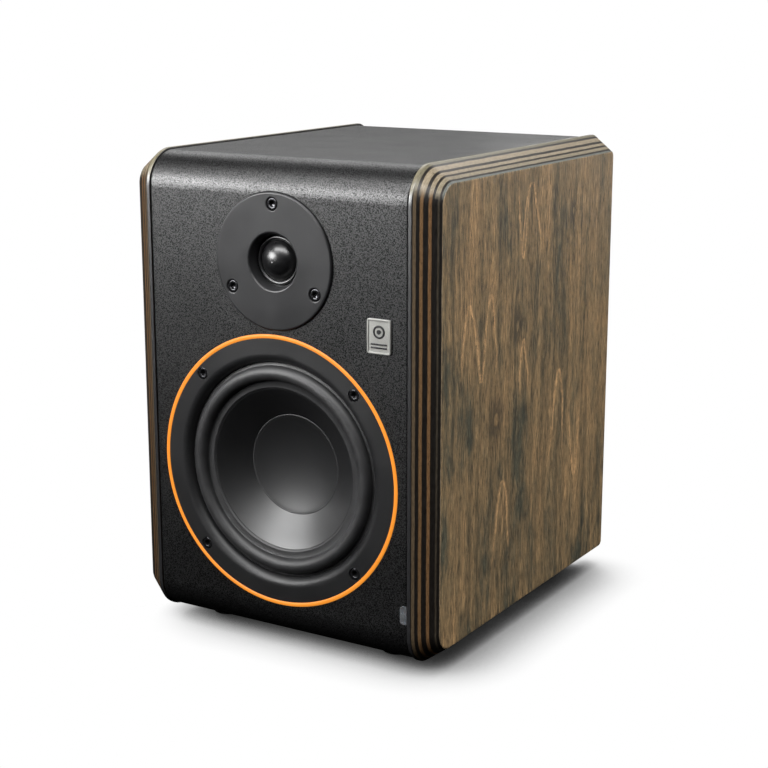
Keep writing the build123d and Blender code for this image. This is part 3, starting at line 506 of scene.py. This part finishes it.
def light_lens():
    finish = Finish("light_lens", (80, 81, 83), 0.24, transmission=0.1, subsurface=0.1, coat=0.6)
    fine = finish.noise(0.5, detail=2)
    cloud = finish.noise(4, detail=2)
    finish.set("Base Color", finish.ramp(cloud, (0.3, (70, 71, 73)), (0.7, (90, 91, 94))))
    finish.set("Roughness", finish.ramp(cloud, (0.3, 0.18), (0.7, 0.3)))
    finish.set("Normal", finish.bump(fine, 0.003))
    return finish.material


FINISHES = {
    "wrap_black": wrap_black(),
    "frame_black": frame_black(),
    "stained_plywood": plywood_edge(),
    "trim_orange": trim_orange(),
    "cone_black": cone_black(),
    "rubber_black": surround_rubber(),
    "dome_fabric": dome_silk(),
    "light_pipe": light_lens(),
    "tweeter_plate": moulded(
        "tweeter_plate_satin", (25, 25, 26), 0.40, grain=0.35, depth=0.008, spread=0.05, specular=0.33
    ),
    "screw_black": moulded("black_oxide_steel", (52, 52, 54), 0.20, grain=0.3, depth=0.004, metallic=0.85),
    "badge_metal": moulded("badge_metal", (130, 130, 126), 0.4, grain=0.3, depth=0.006, metallic=0.3),
    "panel_black": moulded("powder_coat", (24, 24, 26), 0.48, grain=0.45, depth=0.03),
    "port_black": moulded("port_moulding", (22, 22, 23), 0.42, grain=0.6, depth=0.012),
    "component_black": moulded("socket_plastic", (20, 20, 21), 0.36, grain=0.5, depth=0.008),
    "knob_black": moulded("knob_plastic", (26, 26, 27), 0.44, grain=0.35, depth=0.01),
    "contact_metal": brushed("nickel_plate", (206, 200, 188), 0.24, (1, 0.05, 1)),
    "motor_steel": brushed("zinc_plated_steel", (170, 172, 174), 0.34, (1, 0.3, 1)),
    "ferrite": moulded("ferrite", (44, 43, 44), 0.55, grain=0.8, depth=0.03),
    "coil_copper": brushed("copper_winding", (184, 112, 70), 0.3, (0.05, 1, 0.05)),
    "spider_amber": moulded("spider_cloth", (150, 112, 62), 0.75, grain=0.5, depth=0.05),
    "foam_black": moulded("gasket_foam", (26, 26, 27), 0.9, grain=0.6, depth=0.08),
    "felt_grey": moulded("damping_felt", (118, 116, 112), 0.95, grain=0.9, depth=0.3, sheen=0.3),
    "raw_board": moulded("raw_board", (158, 126, 88), 0.75, grain=0.9, depth=0.04),
    "wood_dowel": moulded("beech_dowel", (190, 152, 106), 0.6, grain=0.7, depth=0.03),
    "board_green": moulded("circuit_board", (26, 82, 48), 0.32, grain=1.4, depth=0.01),
    "insulator": moulded("fibre_strip", (140, 104, 62), 0.6, grain=0.6, depth=0.02),
    "transformer_wrap": moulded("winding_tape", (196, 168, 66), 0.4, grain=1.6, depth=0.06),
    "wire_black": moulded("wire_sleeve", (24, 24, 25), 0.4, grain=0.5, depth=0.008),
}
CAP = cap_black()
VENEER = veneer_face()
FEET = moulded("foot_rubber", (24, 24, 24), 0.7, grain=0.7, depth=0.02)
PRINT = moulded("legend_print", (214, 214, 210), 0.55, grain=0.3, depth=0.004)


def dress_frame():
    """Every CAD node takes the finish of its material slot."""
    for node in frame["nodes"].values():
        for place in node.material_slots:
            place.material = FINISHES[place.material.name.split(".")[0]]
    frame["nodes"]["rubber_feet"].material_slots[0].material = FEET


# ------------------------------------------------------------------ mesh tools
def arc(first, through, last, steps=12):
    """Points on the circle through three (a, b) points, without the first."""
    (ax, ay), (bx, by), (cx, cy) = first, through, last
    scale = 2 * (ax * (by - cy) + bx * (cy - ay) + cx * (ay - by))
    a2, b2, c2 = ax * ax + ay * ay, bx * bx + by * by, cx * cx + cy * cy
    ux = (a2 * (by - cy) + b2 * (cy - ay) + c2 * (ay - by)) / scale
    uy = (a2 * (cx - bx) + b2 * (ax - cx) + c2 * (bx - ax)) / scale
    radius = math.hypot(ax - ux, ay - uy)
    start = math.atan2(ay - uy, ax - ux)
    half = (math.atan2(by - uy, bx - ux) - start) % (2 * math.pi)
    whole = (math.atan2(cy - uy, cx - ux) - start) % (2 * math.pi)
    turn = whole if half < whole else whole - 2 * math.pi
    points = []
    for step in range(1, steps + 1):
        angle = start + turn * step / steps
        points.append((ux + radius * math.cos(angle), uy + radius * math.sin(angle)))
    return points


def softened(*points, steps=4, closed=False):
    """A 2-D outline in which a point (a, b, radius) becomes a round corner."""
    count = len(points)
    outline = []
    for index, point in enumerate(points):
        here = Vector(point[:2])
        inner = closed or 0 < index < count - 1
        if len(point) < 3 or not inner:
            outline.append(tuple(here))
            continue
        back = (Vector(points[index - 1][:2]) - here).normalized()
        ahead = (Vector(points[(index + 1) % count][:2]) - here).normalized()
        half = back.angle(ahead) / 2
        reach = point[2] / math.tan(half)
        centre = here + (back + ahead).normalized() * point[2] / math.sin(half)
        start = here + back * reach - centre
        end = here + ahead * reach - centre
        whole = start.angle(end)
        for step in range(steps + 1):
            part = step / steps
            swing = (start * math.sin((1 - part) * whole) + end * math.sin(part * whole)) / math.sin(whole)
            outline.append(tuple(centre + swing))
    return outline


def circle(centre, radius, depth, sides):
    """A closed loop round a front-to-back axis, at a depth behind the front of the baffle."""
    angles = [2 * math.pi * side / sides for side in range(sides)]
    return [
        (centre[0] + radius * math.cos(a), FRONT + depth, centre[1] + radius * math.sin(a))
        for a in angles
    ]


class Build:
    """Collects vertices in mm and faces with a material number, and makes one mesh piece."""

    def __init__(self):
        self.points = []
        self.faces = []
        self.tones = []

    def loop(self, points):
        start = len(self.points)
        self.points += [tuple(point) for point in points]
        return list(range(start, len(self.points)))

    def face(self, corners, tone=0):
        self.faces.append(corners)
        self.tones.append(tone)

    def band(self, first, second, tone=0):
        """Quads between two closed loops with the same count, or a fan to a single point."""
        count = max(len(first), len(second))
        for index in range(count):
            after = (index + 1) % count
            if len(first) == 1:
                self.face((first[0], second[after], second[index]), tone)
            elif len(second) == 1:
                self.face((first[index], first[after], second[0]), tone)
            else:
                self.face((first[index], first[after], second[after], second[index]), tone)

    def loft(self, loops, tones=None):
        """Bands through a row of loops, with flat ends."""
        rows = [self.loop(points) for points in loops]
        for index, (first, second) in enumerate(zip(rows, rows[1:])):
            self.band(first, second, tones[index] if tones else 0)
        if len(rows[0]) > 1:
            self.face(tuple(reversed(rows[0])), tones[0] if tones else 0)
        if len(rows[-1]) > 1:
            self.face(tuple(rows[-1]), tones[-1] if tones else 0)

    def turn(self, centre, outline, sides, tone=0):
        """Turns (radius, depth) points about a front-to-back axis, closed on the axis or on their start."""
        rows = []
        for radius, depth in outline:
            if radius < 1e-6:
                rows.append(self.loop([(centre[0], FRONT + depth, centre[1])]))
            else:
                rows.append(self.loop(circle(centre, radius, depth, sides)))
        pairs = list(zip(rows, rows[1:]))
        if not (len(rows[0]) == 1 and len(rows[-1]) == 1):
            pairs.append((rows[-1], rows[0]))
        for first, second in pairs:
            if len(first) > 1 or len(second) > 1:
                self.band(first, second, tone)

    def piece(self, name, body, slot, stands_for=(), materials=None, sharp=32, blend=False):
        mesh = bpy.data.meshes.new(name)
        mesh.from_pydata([Vector(point) * MM for point in self.points], [], self.faces)
        for material in materials or [FINISHES[slot]]:
            mesh.materials.append(material)
        for polygon, tone in zip(mesh.polygons, self.tones):
            polygon.material_index = tone
            polygon.use_smooth = True
        piece = bpy.data.objects.new(name, mesh)
        bpy.context.scene.collection.objects.link(piece)
        outward(mesh)
        mesh.set_sharp_from_angle(angle=math.radians(sharp))
        if not blend:
            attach(piece, body)
        if stands_for:
            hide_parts(*stands_for)
        return piece


def outward(mesh):
    """Turns a closed mesh's faces outward, so that its volume is positive."""
    volume = 0.0
    for polygon in mesh.polygons:
        corners = [mesh.vertices[index].co for index in polygon.vertices]
        for second, third in zip(corners[1:], corners[2:]):
            volume += corners[0].dot(second.cross(third))
    if volume < 0:
        mesh.flip_normals()


def rounded_loop(centre, width, height, corner, depth, steps=8):
    """A rounded rectangle across the speaker, at a place along Y."""
    x, z = width / 2, height / 2
    corners = [(-x, -z, corner), (x, -z, corner), (x, z, corner), (-x, z, corner)]
    outline = softened(*corners, steps=steps, closed=True)
    return [(centre[0] + a, depth, centre[1] + b) for a, b in outline]


def ring_blend(piece, moving, centre, still_radius, moving_radius):
    """A turned skin that follows the root at its rim and a moving body at its centre."""
    across = Vector((centre[0], FRONT, centre[1])) * MM
    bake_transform(piece, "root", moving, start=across + Vector((still_radius * MM, 0, 0)), end=across)
    weights = piece.data.attributes["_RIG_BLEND"].data
    for vertex, weight in zip(piece.data.vertices, weights):
        radius = math.hypot(vertex.co.x / MM - centre[0], vertex.co.z / MM - centre[1])
        part = (still_radius - radius) / (still_radius - moving_radius)
        part = min(1.0, max(0.0, part))
        weight.value = part * part * (3 - 2 * part)


def soften_edges(node, width):
    """Rounds the hard edges of a CAD node that keeps its shape."""
    piece = frame["nodes"][node]
    weld = piece.modifiers.new("weld", "WELD")
    weld.merge_threshold = 0.002 * MM
    bevel = piece.modifiers.new("edges", "BEVEL")
    bevel.width = width * MM
    bevel.segments = 2
    bevel.limit_method = "ANGLE"
    bevel.angle_limit = math.radians(40)
    bevel.use_clamp_overlap = True
    normals = piece.modifiers.new("normals", "WEIGHTED_NORMAL")
    normals.keep_sharp = True


# ------------------------------------------------------------------ cabinet
def side_panel(side, name):
    """Plywood side: square land, straight bevel all round, and a veneered face."""
    profile = softened(
        (0.0, 3.0),
        (0.0, 0.0, 0.35),
        (PANEL_LAND, 0.0, 0.6),
        (PANEL_THICKNESS, PANEL_BEVEL, 1.1),
        (PANEL_THICKNESS, PANEL_BEVEL + 4.0),
        steps=5,
    )
    y_low, y_high = low(name, "y"), high(name, "y")
    z_low, z_high = low(name, "z"), high(name, "z")
    loops = []
    tones = []
    for depth, inset in profile:
        front, rear = PANEL_FRONT_RADIUS - inset, PANEL_REAR_RADIUS - inset
        corners = (
            (y_low + inset, z_low + inset, front),
            (y_high - inset, z_low + inset, rear),
            (y_high - inset, z_high - inset, rear),
            (y_low + inset, z_high - inset, front),
        )
        corners = [(a, b, max(radius, 0.5)) for a, b, radius in corners]
        outline = softened(*corners, steps=14, closed=True)
        loops.append([(side * (HALF_BODY + depth), a, b) for a, b in outline])
        tones.append(1 if depth > PANEL_THICKNESS - 0.25 else 0)
    build = Build()
    build.loft(loops, tones[:-1])
    build.tones[-1] = 1
    woods = [FINISHES["stained_plywood"], VENEER]
    build.piece(name + "_wood", "root", "stained_plywood", (name,), woods, sharp=25)


def badge():
    """Generic metal badge: a raised rim round a recess with a plain ring, a dot and two bars."""
    centre = (middle("badge_plate", "x"), middle("badge_plate", "z"))
    width = high("badge_plate", "x") - low("badge_plate", "x")
    height = high("badge_plate", "z") - low("badge_plate", "z")
    back = high("badge_plate", "y")
    proud = back - low("badge_plate", "y")
    profile = softened(
        (0.0, 0.0),
        (0.0, proud, 0.3),
        (0.8, proud, 0.15),
        (1.0, proud - 0.45, 0.1),
        (2.0, proud - 0.45),
        steps=3,
    )
    loops = [
        rounded_loop(centre, width - 2 * inset, height - 2 * inset, max(1.4 - inset, 0.3), back - out)
        for inset, out in profile
    ]
    build = Build()
    build.loft(loops)
    ring = softened((3.5, 0.6), (3.5, proud - 0.1, 0.2), (2.5, proud - 0.1, 0.1), (2.5, 0.6), steps=3)
    ring_at = (centre[0], centre[1] + 2.4)
    offset = back - FRONT
    build.turn(ring_at, [(radius, offset - out) for radius, out in ring], sides=48, tone=1)
    dot_front = offset - proud + 0.1
    dot_back = offset - 0.6
    dot = [(0, dot_front), (1.2, dot_front), (1.2, dot_back), (0, dot_back)]
    build.turn(ring_at, dot, sides=32, tone=1)
    bar = softened((0.0, 0.5), (0.0, proud - 0.15, 0.2), (0.6, proud - 0.15), steps=3)
    for drop in (-4.0, -5.8):
        bar_at = (centre[0], centre[1] + drop)
        loops = [
            rounded_loop(bar_at, 9.6 - 2 * inset, 0.9 - inset * 0.9, 0.2, back - out, steps=3)
            for inset, out in bar
        ]
        build.loft(loops, [1] * (len(loops) - 1))
    metals = [FINISHES["badge_metal"], FINISHES["component_black"]]
    build.piece("badge", "root", "badge_metal", ("badge_plate",), metals)


# ------------------------------------------------------------------ drivers
def hex_screw(build, at, front, height, turn):
    """A low round head with a chamfered hexagon socket, in an angle of its own."""
    sides = 48

    def hexagon(flats, depth):
        points = []
        for side in range(sides):
            angle = 2 * math.pi * side / sides
            reach = flats / 2 / math.cos((angle - turn) % (math.pi / 3) - math.pi / 6)
            points.append((at[0] + reach * math.cos(angle), FRONT + depth, at[1] + reach * math.sin(angle)))
        return points

    outline = softened((SCREW_HEAD, front + height), (SCREW_HEAD, front, 0.55), (2.3, front), steps=5)
    loops = [circle(at, radius, depth, sides) for radius, depth in outline]
    for flats, sunk in ((3.7, 0.02), (3.3, 0.12), (3.0, 0.4), (3.0, 1.5)):
        loops.append(hexagon(flats, front + sunk))
    loops.append(circle(at, 0.6, front + 1.75, sides))
    build.loft(loops)


def screws(name, node, front, places, height):
    build = Build()
    for index, at in enumerate(places):
        hex_screw(build, at, front, height, 0.35 + index * 0.9)
    build.piece(name, "root", "screw_black", (node,), sharp=38)


def around(centre, radius, angles):
    return [
        (centre[0] + radius * math.cos(math.radians(a)), centre[1] + radius * math.sin(math.radians(a)))
        for a in angles
    ]


def cone_depth(radius):
    slope = (CONE_NECK_DEPTH - CONE_RIM_DEPTH) / (CONE_EDGE - NECK_RADIUS)
    return CONE_RIM_DEPTH + (CONE_EDGE - radius) * slope


def bowl(radius, height, at):
    sphere = (radius**2 + height**2) / (2 * height)
    return math.sqrt(sphere**2 - at**2) - (sphere - height)


def woofer_surround():
    crest = ((ROLL_OUTER + ROLL_INNER) / 2, SURROUND_DEPTH - (ROLL_OUTER - ROLL_INNER) / 2)
    front = [
        (SURROUND_RIM, SURROUND_DEPTH),
        (ROLL_OUTER + 0.4, SURROUND_DEPTH),
        (ROLL_OUTER, SURROUND_DEPTH - 0.25),
    ]
    front += arc(front[-1], crest, (ROLL_INNER, SURROUND_DEPTH - 0.25), 28)
    front += softened(
        (ROLL_INNER - 0.35, SURROUND_DEPTH),
        (CONE_EDGE + 1.2, SURROUND_DEPTH, 0.3),
        (CONE_EDGE + 0.35, CONE_RIM_DEPTH - 0.12),
        steps=3,
    )
    back_start = (ROLL_INNER + SURROUND_SKIN, SURROUND_DEPTH + SURROUND_SKIN)
    back_end = (ROLL_OUTER - SURROUND_SKIN, SURROUND_DEPTH + SURROUND_SKIN)
    back = [(CONE_EDGE + 0.35, CONE_RIM_DEPTH), back_start]
    back += arc(back_start, (crest[0], crest[1] + SURROUND_SKIN), back_end, 28)
    back += [(SURROUND_RIM, SURROUND_DEPTH + SURROUND_SKIN)]
    build = Build()
    build.turn(WOOFER, front + back, sides=192)
    piece = build.piece(
        "woofer_roll_surround", "root", "rubber_black", ("woofer_surround",), blend=True, sharp=50
    )
    ring_blend(piece, "woofer_cone_assembly", WOOFER, ROLL_OUTER - 0.6, ROLL_INNER + 0.6)


def woofer_cone():
    skin = 0.75
    front = softened(
        (ROLL_INNER, CONE_RIM_DEPTH),
        (CONE_EDGE, CONE_RIM_DEPTH, 1.0),
        (NECK_RADIUS, CONE_NECK_DEPTH),
        steps=5,
    )
    slope = [(radius, cone_depth(radius)) for radius in (40.0, 34.0, 28.0, 22.0, 17.0)]
    front = front[:-1] + slope + front[-1:]
    back = [(radius, depth + skin) for radius, depth in reversed(front)]
    build = Build()
    build.turn(WOOFER, front + back, sides=192)
    build.piece("woofer_paper_cone", "woofer_cone_assembly", "cone_black", ("woofer_cone",))


def dust_cap():
    """Dished cap, and the bead of glue that holds its edge."""
    edge = cone_depth(CAP_RADIUS)
    skin = 0.8
    steps = 16
    radii = [(CAP_RADIUS - 0.5) * (1 - step / steps) for step in range(steps + 1)]
    front = [(CAP_RADIUS, edge - 0.05), (CAP_RADIUS - 0.25, edge - 0.25)]
    front += [(radius, edge - 0.2 + bowl(CAP_RADIUS - 0.5, CAP_DISH, radius)) for radius in radii]
    back = [(radius, depth + skin) for radius, depth in reversed(front[2:])]
    build = Build()
    build.turn(WOOFER, front + back, sides=160)
    build.piece(
        "woofer_dished_cap", "woofer_cone_assembly", "cone_black", ("woofer_dust_cap",), [CAP], sharp=45
    )
    bead = Build()
    bead_outline = [
        (CAP_RADIUS + 0.15 + 0.42 * math.cos(a), edge - 0.1 + 0.34 * math.sin(a))
        for a in (2 * math.pi * step / 12 for step in range(12))
    ]
    bead.turn(WOOFER, bead_outline, sides=160)
    bead.piece("dust_cap_glue_bead", "woofer_cone_assembly", "rubber_black", sharp=60)


def woofer_spider():
    """Corrugated cloth between the frame's ledge and the voice coil."""
    waves = 4
    inner, outer = SPIDER_WAVES
    steps = 96
    front = [(NECK_RADIUS + 0.02, SPIDER_DEPTH)]
    for step in range(steps + 1):
        part = step / steps
        radius = inner + (outer - inner) * part
        front.append((radius, SPIDER_DEPTH - 1.1 * math.sin(2 * math.pi * waves * part)))
    front.append((SPIDER_RIM, SPIDER_DEPTH))
    back = [(radius, depth + SPIDER_SKIN) for radius, depth in reversed(front)]
    build = Build()
    build.turn(WOOFER, front + back, sides=120)
    piece = build.piece(
        "woofer_cloth_spider", "root", "spider_amber", ("woofer_spider",), blend=True, sharp=60
    )
    ring_blend(piece, "woofer_cone_assembly", WOOFER, outer, inner)


def tweeter_surround():
    inner, outer = TWEETER_ROLL
    skin = 0.4
    crest = ((inner + outer) / 2, DOME_BASE - (outer - inner) / 2)
    front = [(DOME_RADIUS, DOME_BASE), (inner, DOME_BASE)]
    front += arc((inner, DOME_BASE), crest, (outer, DOME_BASE), 14)
    front += [(TWEETER_SKIRT, DOME_BASE), (TWEETER_SKIRT, DOME_BASE + 0.6), (outer, DOME_BASE + 0.6)]
    back_crest = (crest[0], crest[1] + skin + 0.2)
    front += arc((outer, DOME_BASE + 0.6), back_crest, (inner, DOME_BASE + skin), 14)
    front += [(DOME_RADIUS, DOME_BASE + skin)]
    build = Build()
    build.turn(TWEETER, front, sides=128)
    piece = build.piece(
        "tweeter_roll_surround", "root", "dome_fabric", ("tweeter_surround",), blend=True, sharp=50
    )
    ring_blend(piece, "tweeter_dome_assembly", TWEETER, outer, inner)


# ------------------------------------------------------------------ printed legends on the back
def print_piece(name, build):
    build.piece(name, "root", "badge_metal", materials=[PRINT], sharp=60)


def stroke(build, start, end, width):
    """A thin printed bar with rounded ends, on the amplifier panel."""
    start, end = Vector(start), Vector(end)
    middle_point = (start + end) / 2
    length = (end - start).length + width
    angle = math.atan2(end.y - start.y, end.x - start.x)
    run, rise = math.cos(angle), math.sin(angle)
    loops = []
    for y, inset in ((AMP_OUTSIDE - 0.02, 0.0), (AMP_OUTSIDE + 0.03, 0.0), (AMP_OUTSIDE + 0.05, 0.03)):
        corner = width / 2 - inset - 0.01
        outline = rounded_loop((0, 0), length - 2 * inset, width - 2 * inset, corner, y, steps=3)
        loops.append(
            [
                (middle_point.x + x * run - z * rise, depth, middle_point.y + x * rise + z * run)
                for x, depth, z in outline
            ]
        )
    build.loft(loops)


def printed_number(text, at, size):
    """A number printed on the back, read from behind."""
    curve = bpy.data.curves.new("number", "FONT")
    curve.body = text
    curve.size = size * MM
    curve.extrude = 0.03 * MM
    curve.align_x = "CENTER"
    curve.align_y = "CENTER"
    holder = bpy.data.objects.new("number", curve)
    bpy.context.scene.collection.objects.link(holder)
    holder.matrix_world = Matrix.Translation(Vector((at[0], AMP_OUTSIDE + 0.02, at[1])) * MM) @ Matrix(
        ((-1, 0, 0, 0), (0, 0, 1, 0), (0, 1, 0, 0), (0, 0, 0, 1))
    )
    bpy.context.view_layer.update()
    mesh = bpy.data.meshes.new_from_object(holder.evaluated_get(bpy.context.evaluated_depsgraph_get()))
    mesh.transform(holder.matrix_world)
    bpy.data.objects.remove(holder)
    return mesh


def dial_scale(knob, radius, sweep, ticks, numbers):
    """Ticks round a knob, with numbers at some of them; the dial turns clockwise seen from behind."""
    at = KNOBS[knob]
    build = Build()
    meshes = []
    for index in range(ticks):
        angle = math.radians(90 + sweep - 2 * sweep * index / (ticks - 1))
        across = Vector((-math.cos(angle), math.sin(angle)))
        long_tick = index % ((ticks - 1) // 2) == 0
        inner = Vector(at) + across * radius
        outer = Vector(at) + across * (radius + (2.0 if long_tick else 1.3))
        stroke(build, inner, outer, 0.45 if long_tick else 0.32)
        if index in numbers:
            meshes.append(printed_number(numbers[index], Vector(at) + across * (radius + 4.4), 3.4))
    for mesh in meshes:
        start = len(build.points)
        build.points += [tuple(vertex.co / MM) for vertex in mesh.vertices]
        for polygon in mesh.polygons:
            build.face(tuple(start + index for index in polygon.vertices))
    print_piece(f"{knob}_scale", build)


# ------------------------------------------------------------------ stage, in metres
MIDDLE_HEIGHT = 0.13
AIM_HEIGHT = 0.14


def softbox(name, at, aim, size, power, spread=180):
    light = bpy.data.lights.new(name, "AREA")
    light.shape = "RECTANGLE"
    light.size, light.size_y = size
    light.energy = power
    light.spread = math.radians(spread)
    lamp = bpy.data.objects.new(name, light)
    bpy.context.scene.collection.objects.link(lamp)
    lamp.location = at
    lamp.rotation_euler = (Vector(aim) - Vector(at)).to_track_quat("-Z", "Y").to_euler()
    lamp.visible_camera = False


def around_object(azimuth, elevation, distance):
    """A place in metres, seen from about the object's middle: azimuth 0 is the front, 90 the right."""
    turn, rise = math.radians(azimuth), math.radians(elevation)
    return (
        distance * math.sin(turn) * math.cos(rise),
        -distance * math.cos(turn) * math.cos(rise),
        MIDDLE_HEIGHT + distance * math.sin(rise),
    )


def studio():
    """Softboxes: a low one at the front left gives the baffle its gradient."""
    aim = (0, 0, AIM_HEIGHT)
    softbox("key_left", around_object(-34, 21, 0.8), (0, -0.11, 0.25), (0.5, 0.26), 1.6, spread=62)
    softbox("overhead", around_object(4, 52, 1.6), aim, (1.9, 0.36), 43)
    softbox("back_left", around_object(-150, 40, 1.8), aim, (1.6, 0.7), 9)
    softbox("rear", around_object(186, 2, 1.8), aim, (1.3, 0.35), 7)
    softbox("right_side", around_object(112, 30, 1.9), aim, (1.2, 1.0), 38)


def world():
    """White to the camera, and a dim room, brighter at the back, to everything else."""
    room = bpy.data.worlds.new("studio")
    bpy.context.scene.world = room
    room.use_nodes = True
    nodes, links = room.node_tree.nodes, room.node_tree.links
    background = nodes["Background"]
    background.inputs["Color"].default_value = (1, 1, 1, 1)
    parts = nodes.new("ShaderNodeSeparateXYZ")
    links.new(nodes.new("ShaderNodeTexCoord").outputs["Generated"], parts.inputs[0])

    def graded(axis, start, end, low_value, high_value):
        node = nodes.new("ShaderNodeMapRange")
        links.new(parts.outputs[axis], node.inputs["Value"])
        node.inputs["From Min"].default_value = start
        node.inputs["From Max"].default_value = end
        node.inputs["To Min"].default_value = low_value
        node.inputs["To Max"].default_value = high_value
        return node.outputs[0]

    dim = nodes.new("ShaderNodeMath")
    dim.operation = "MULTIPLY"
    links.new(graded("Z", -0.05, 0.25, 0.0, 0.16), dim.inputs[0])      # from the horizon up
    links.new(graded("Y", -0.5, 0.8, 0.05, 1.1), dim.inputs[1])        # from the front to the back
    choice = nodes.new("ShaderNodeMix")
    choice.data_type = "FLOAT"
    links.new(nodes.new("ShaderNodeLightPath").outputs["Is Camera Ray"], choice.inputs[0])
    links.new(dim.outputs[0], choice.inputs[2])
    choice.inputs[3].default_value = 1.0
    links.new(choice.outputs[0], background.inputs["Strength"])


SHADOW_REACH = 0.052
SHADOW_LEAN = (-0.62, 0.10, 0.78)
# Brightness of the floor against how much open space a point has round it, both from 0 to 1.
SHADOW_TONES = (
    (0.12, 0.0),
    (0.20, 0.05),
    (0.27, 0.16),
    (0.32, 0.28),
    (0.44, 0.49),
    (0.55, 0.72),
    (0.66, 0.88),
    (0.80, 1.0),
)


def floor():
    """A white sweep with a painted contact shadow: it only darkens close to the speaker, more so on its
    right.
    """
    mesh = bpy.data.meshes.new("floor")
    reach = 12.0
    corners = [(-reach, -reach, 0), (reach, -reach, 0), (reach, reach, 0), (-reach, reach, 0)]
    mesh.from_pydata(corners, [], [(0, 1, 2, 3)])
    finish = Finish("white_sweep", (0, 0, 0), 1.0, specular=0.0, glow=1.0)
    nearby = finish.nodes.new("ShaderNodeAmbientOcclusion")
    nearby.samples = 32
    nearby.inputs["Distance"].default_value = SHADOW_REACH
    lean = finish.nodes.new("ShaderNodeCombineXYZ")
    for socket, value in zip(lean.inputs, SHADOW_LEAN):
        socket.default_value = value
    finish.links.new(lean.outputs[0], nearby.inputs["Normal"])
    # The emission colour falls with the occlusion: a painted shadow, not one cast by the lamps.
    finish.set("Emission Color", finish.ramp(nearby.outputs["AO"], *SHADOW_TONES))
    mesh.materials.append(finish.material)
    sweep = bpy.data.objects.new("floor", mesh)
    bpy.context.scene.collection.objects.link(sweep)
    sweep.visible_glossy = False
    sweep.visible_diffuse = False


CAMERA_AZIMUTH = 31.35          # degrees to the right of straight on
CAMERA_ELEVATION = 13.48
CAMERA_DISTANCE = 0.8880        # from the woofer's plane through its axis, in metres
CAMERA_RIGHT = 0.0579
CAMERA_UP = 0.0479
CAMERA_LENS = 76.70             # mm, on the default 36 mm sensor


def camera():
    turn, rise = math.radians(CAMERA_AZIMUTH), math.radians(CAMERA_ELEVATION)
    back = Vector((math.sin(turn) * math.cos(rise), -math.cos(turn) * math.cos(rise), math.sin(rise)))
    right = (-back).cross(Vector((0, 0, 1))).normalized()
    up = right.cross(-back)
    woofer = Vector((WOOFER[0], FRONT, WOOFER[1])) * MM
    place = woofer + back * CAMERA_DISTANCE + right * CAMERA_RIGHT + up * CAMERA_UP
    data = bpy.data.cameras.new("camera")
    data.lens = CAMERA_LENS
    holder = bpy.data.objects.new("camera", data)
    bpy.context.scene.collection.objects.link(holder)
    axes = Matrix((right, up, back)).transposed()
    holder.matrix_world = Matrix.Translation(place) @ axes.to_4x4()
    bpy.context.scene.camera = holder


# ------------------------------------------------------------------ make it all
bpy.context.scene.view_settings.view_transform = "Standard"
camera()
world()
studio()
floor()
dress_frame()

side_panel(-1, "side_panel_left")
side_panel(1, "side_panel_right")
badge()
woofer_surround()
woofer_cone()
dust_cap()
woofer_spider()
tweeter_surround()
woofer_places = around(WOOFER, WOOFER_SCREW_CIRCLE, (45, 135, 225, 315))
tweeter_places = around(TWEETER, TWEETER_SCREW_CIRCLE, (90, 210, 330))
screws("woofer_hex_screws", "woofer_screws", 0.4, woofer_places, 2.2)
screws("tweeter_hex_screws", "tweeter_screws", -1.1, tweeter_places, 2.0)

for node, width in (
    ("status_light_pipe", 0.35),
    ("tweeter_faceplate", 1.0),
    ("heat_sink", 0.3),
    ("amp_panel", 0.3),
    ("mains_inlet", 0.4),
    ("power_switch_frame", 0.3),
    ("power_switch_rocker", 0.4),
    ("input_combo", 0.3),
    ("input_release_tab", 0.2),
    ("inlet_pins", 0.2),
    ("rear_panel", 0.5),
):
    soften_edges(node, width)

dial_scale("volume", 13.2, 150, 11, {0: "0", 5: "5", 10: "10"})
dial_scale("treble", 9.2, 140, 7, {0: "-6", 3: "0", 6: "+6"})
dial_scale("bass", 9.2, 140, 7, {0: "-6", 3: "0", 6: "+6"})
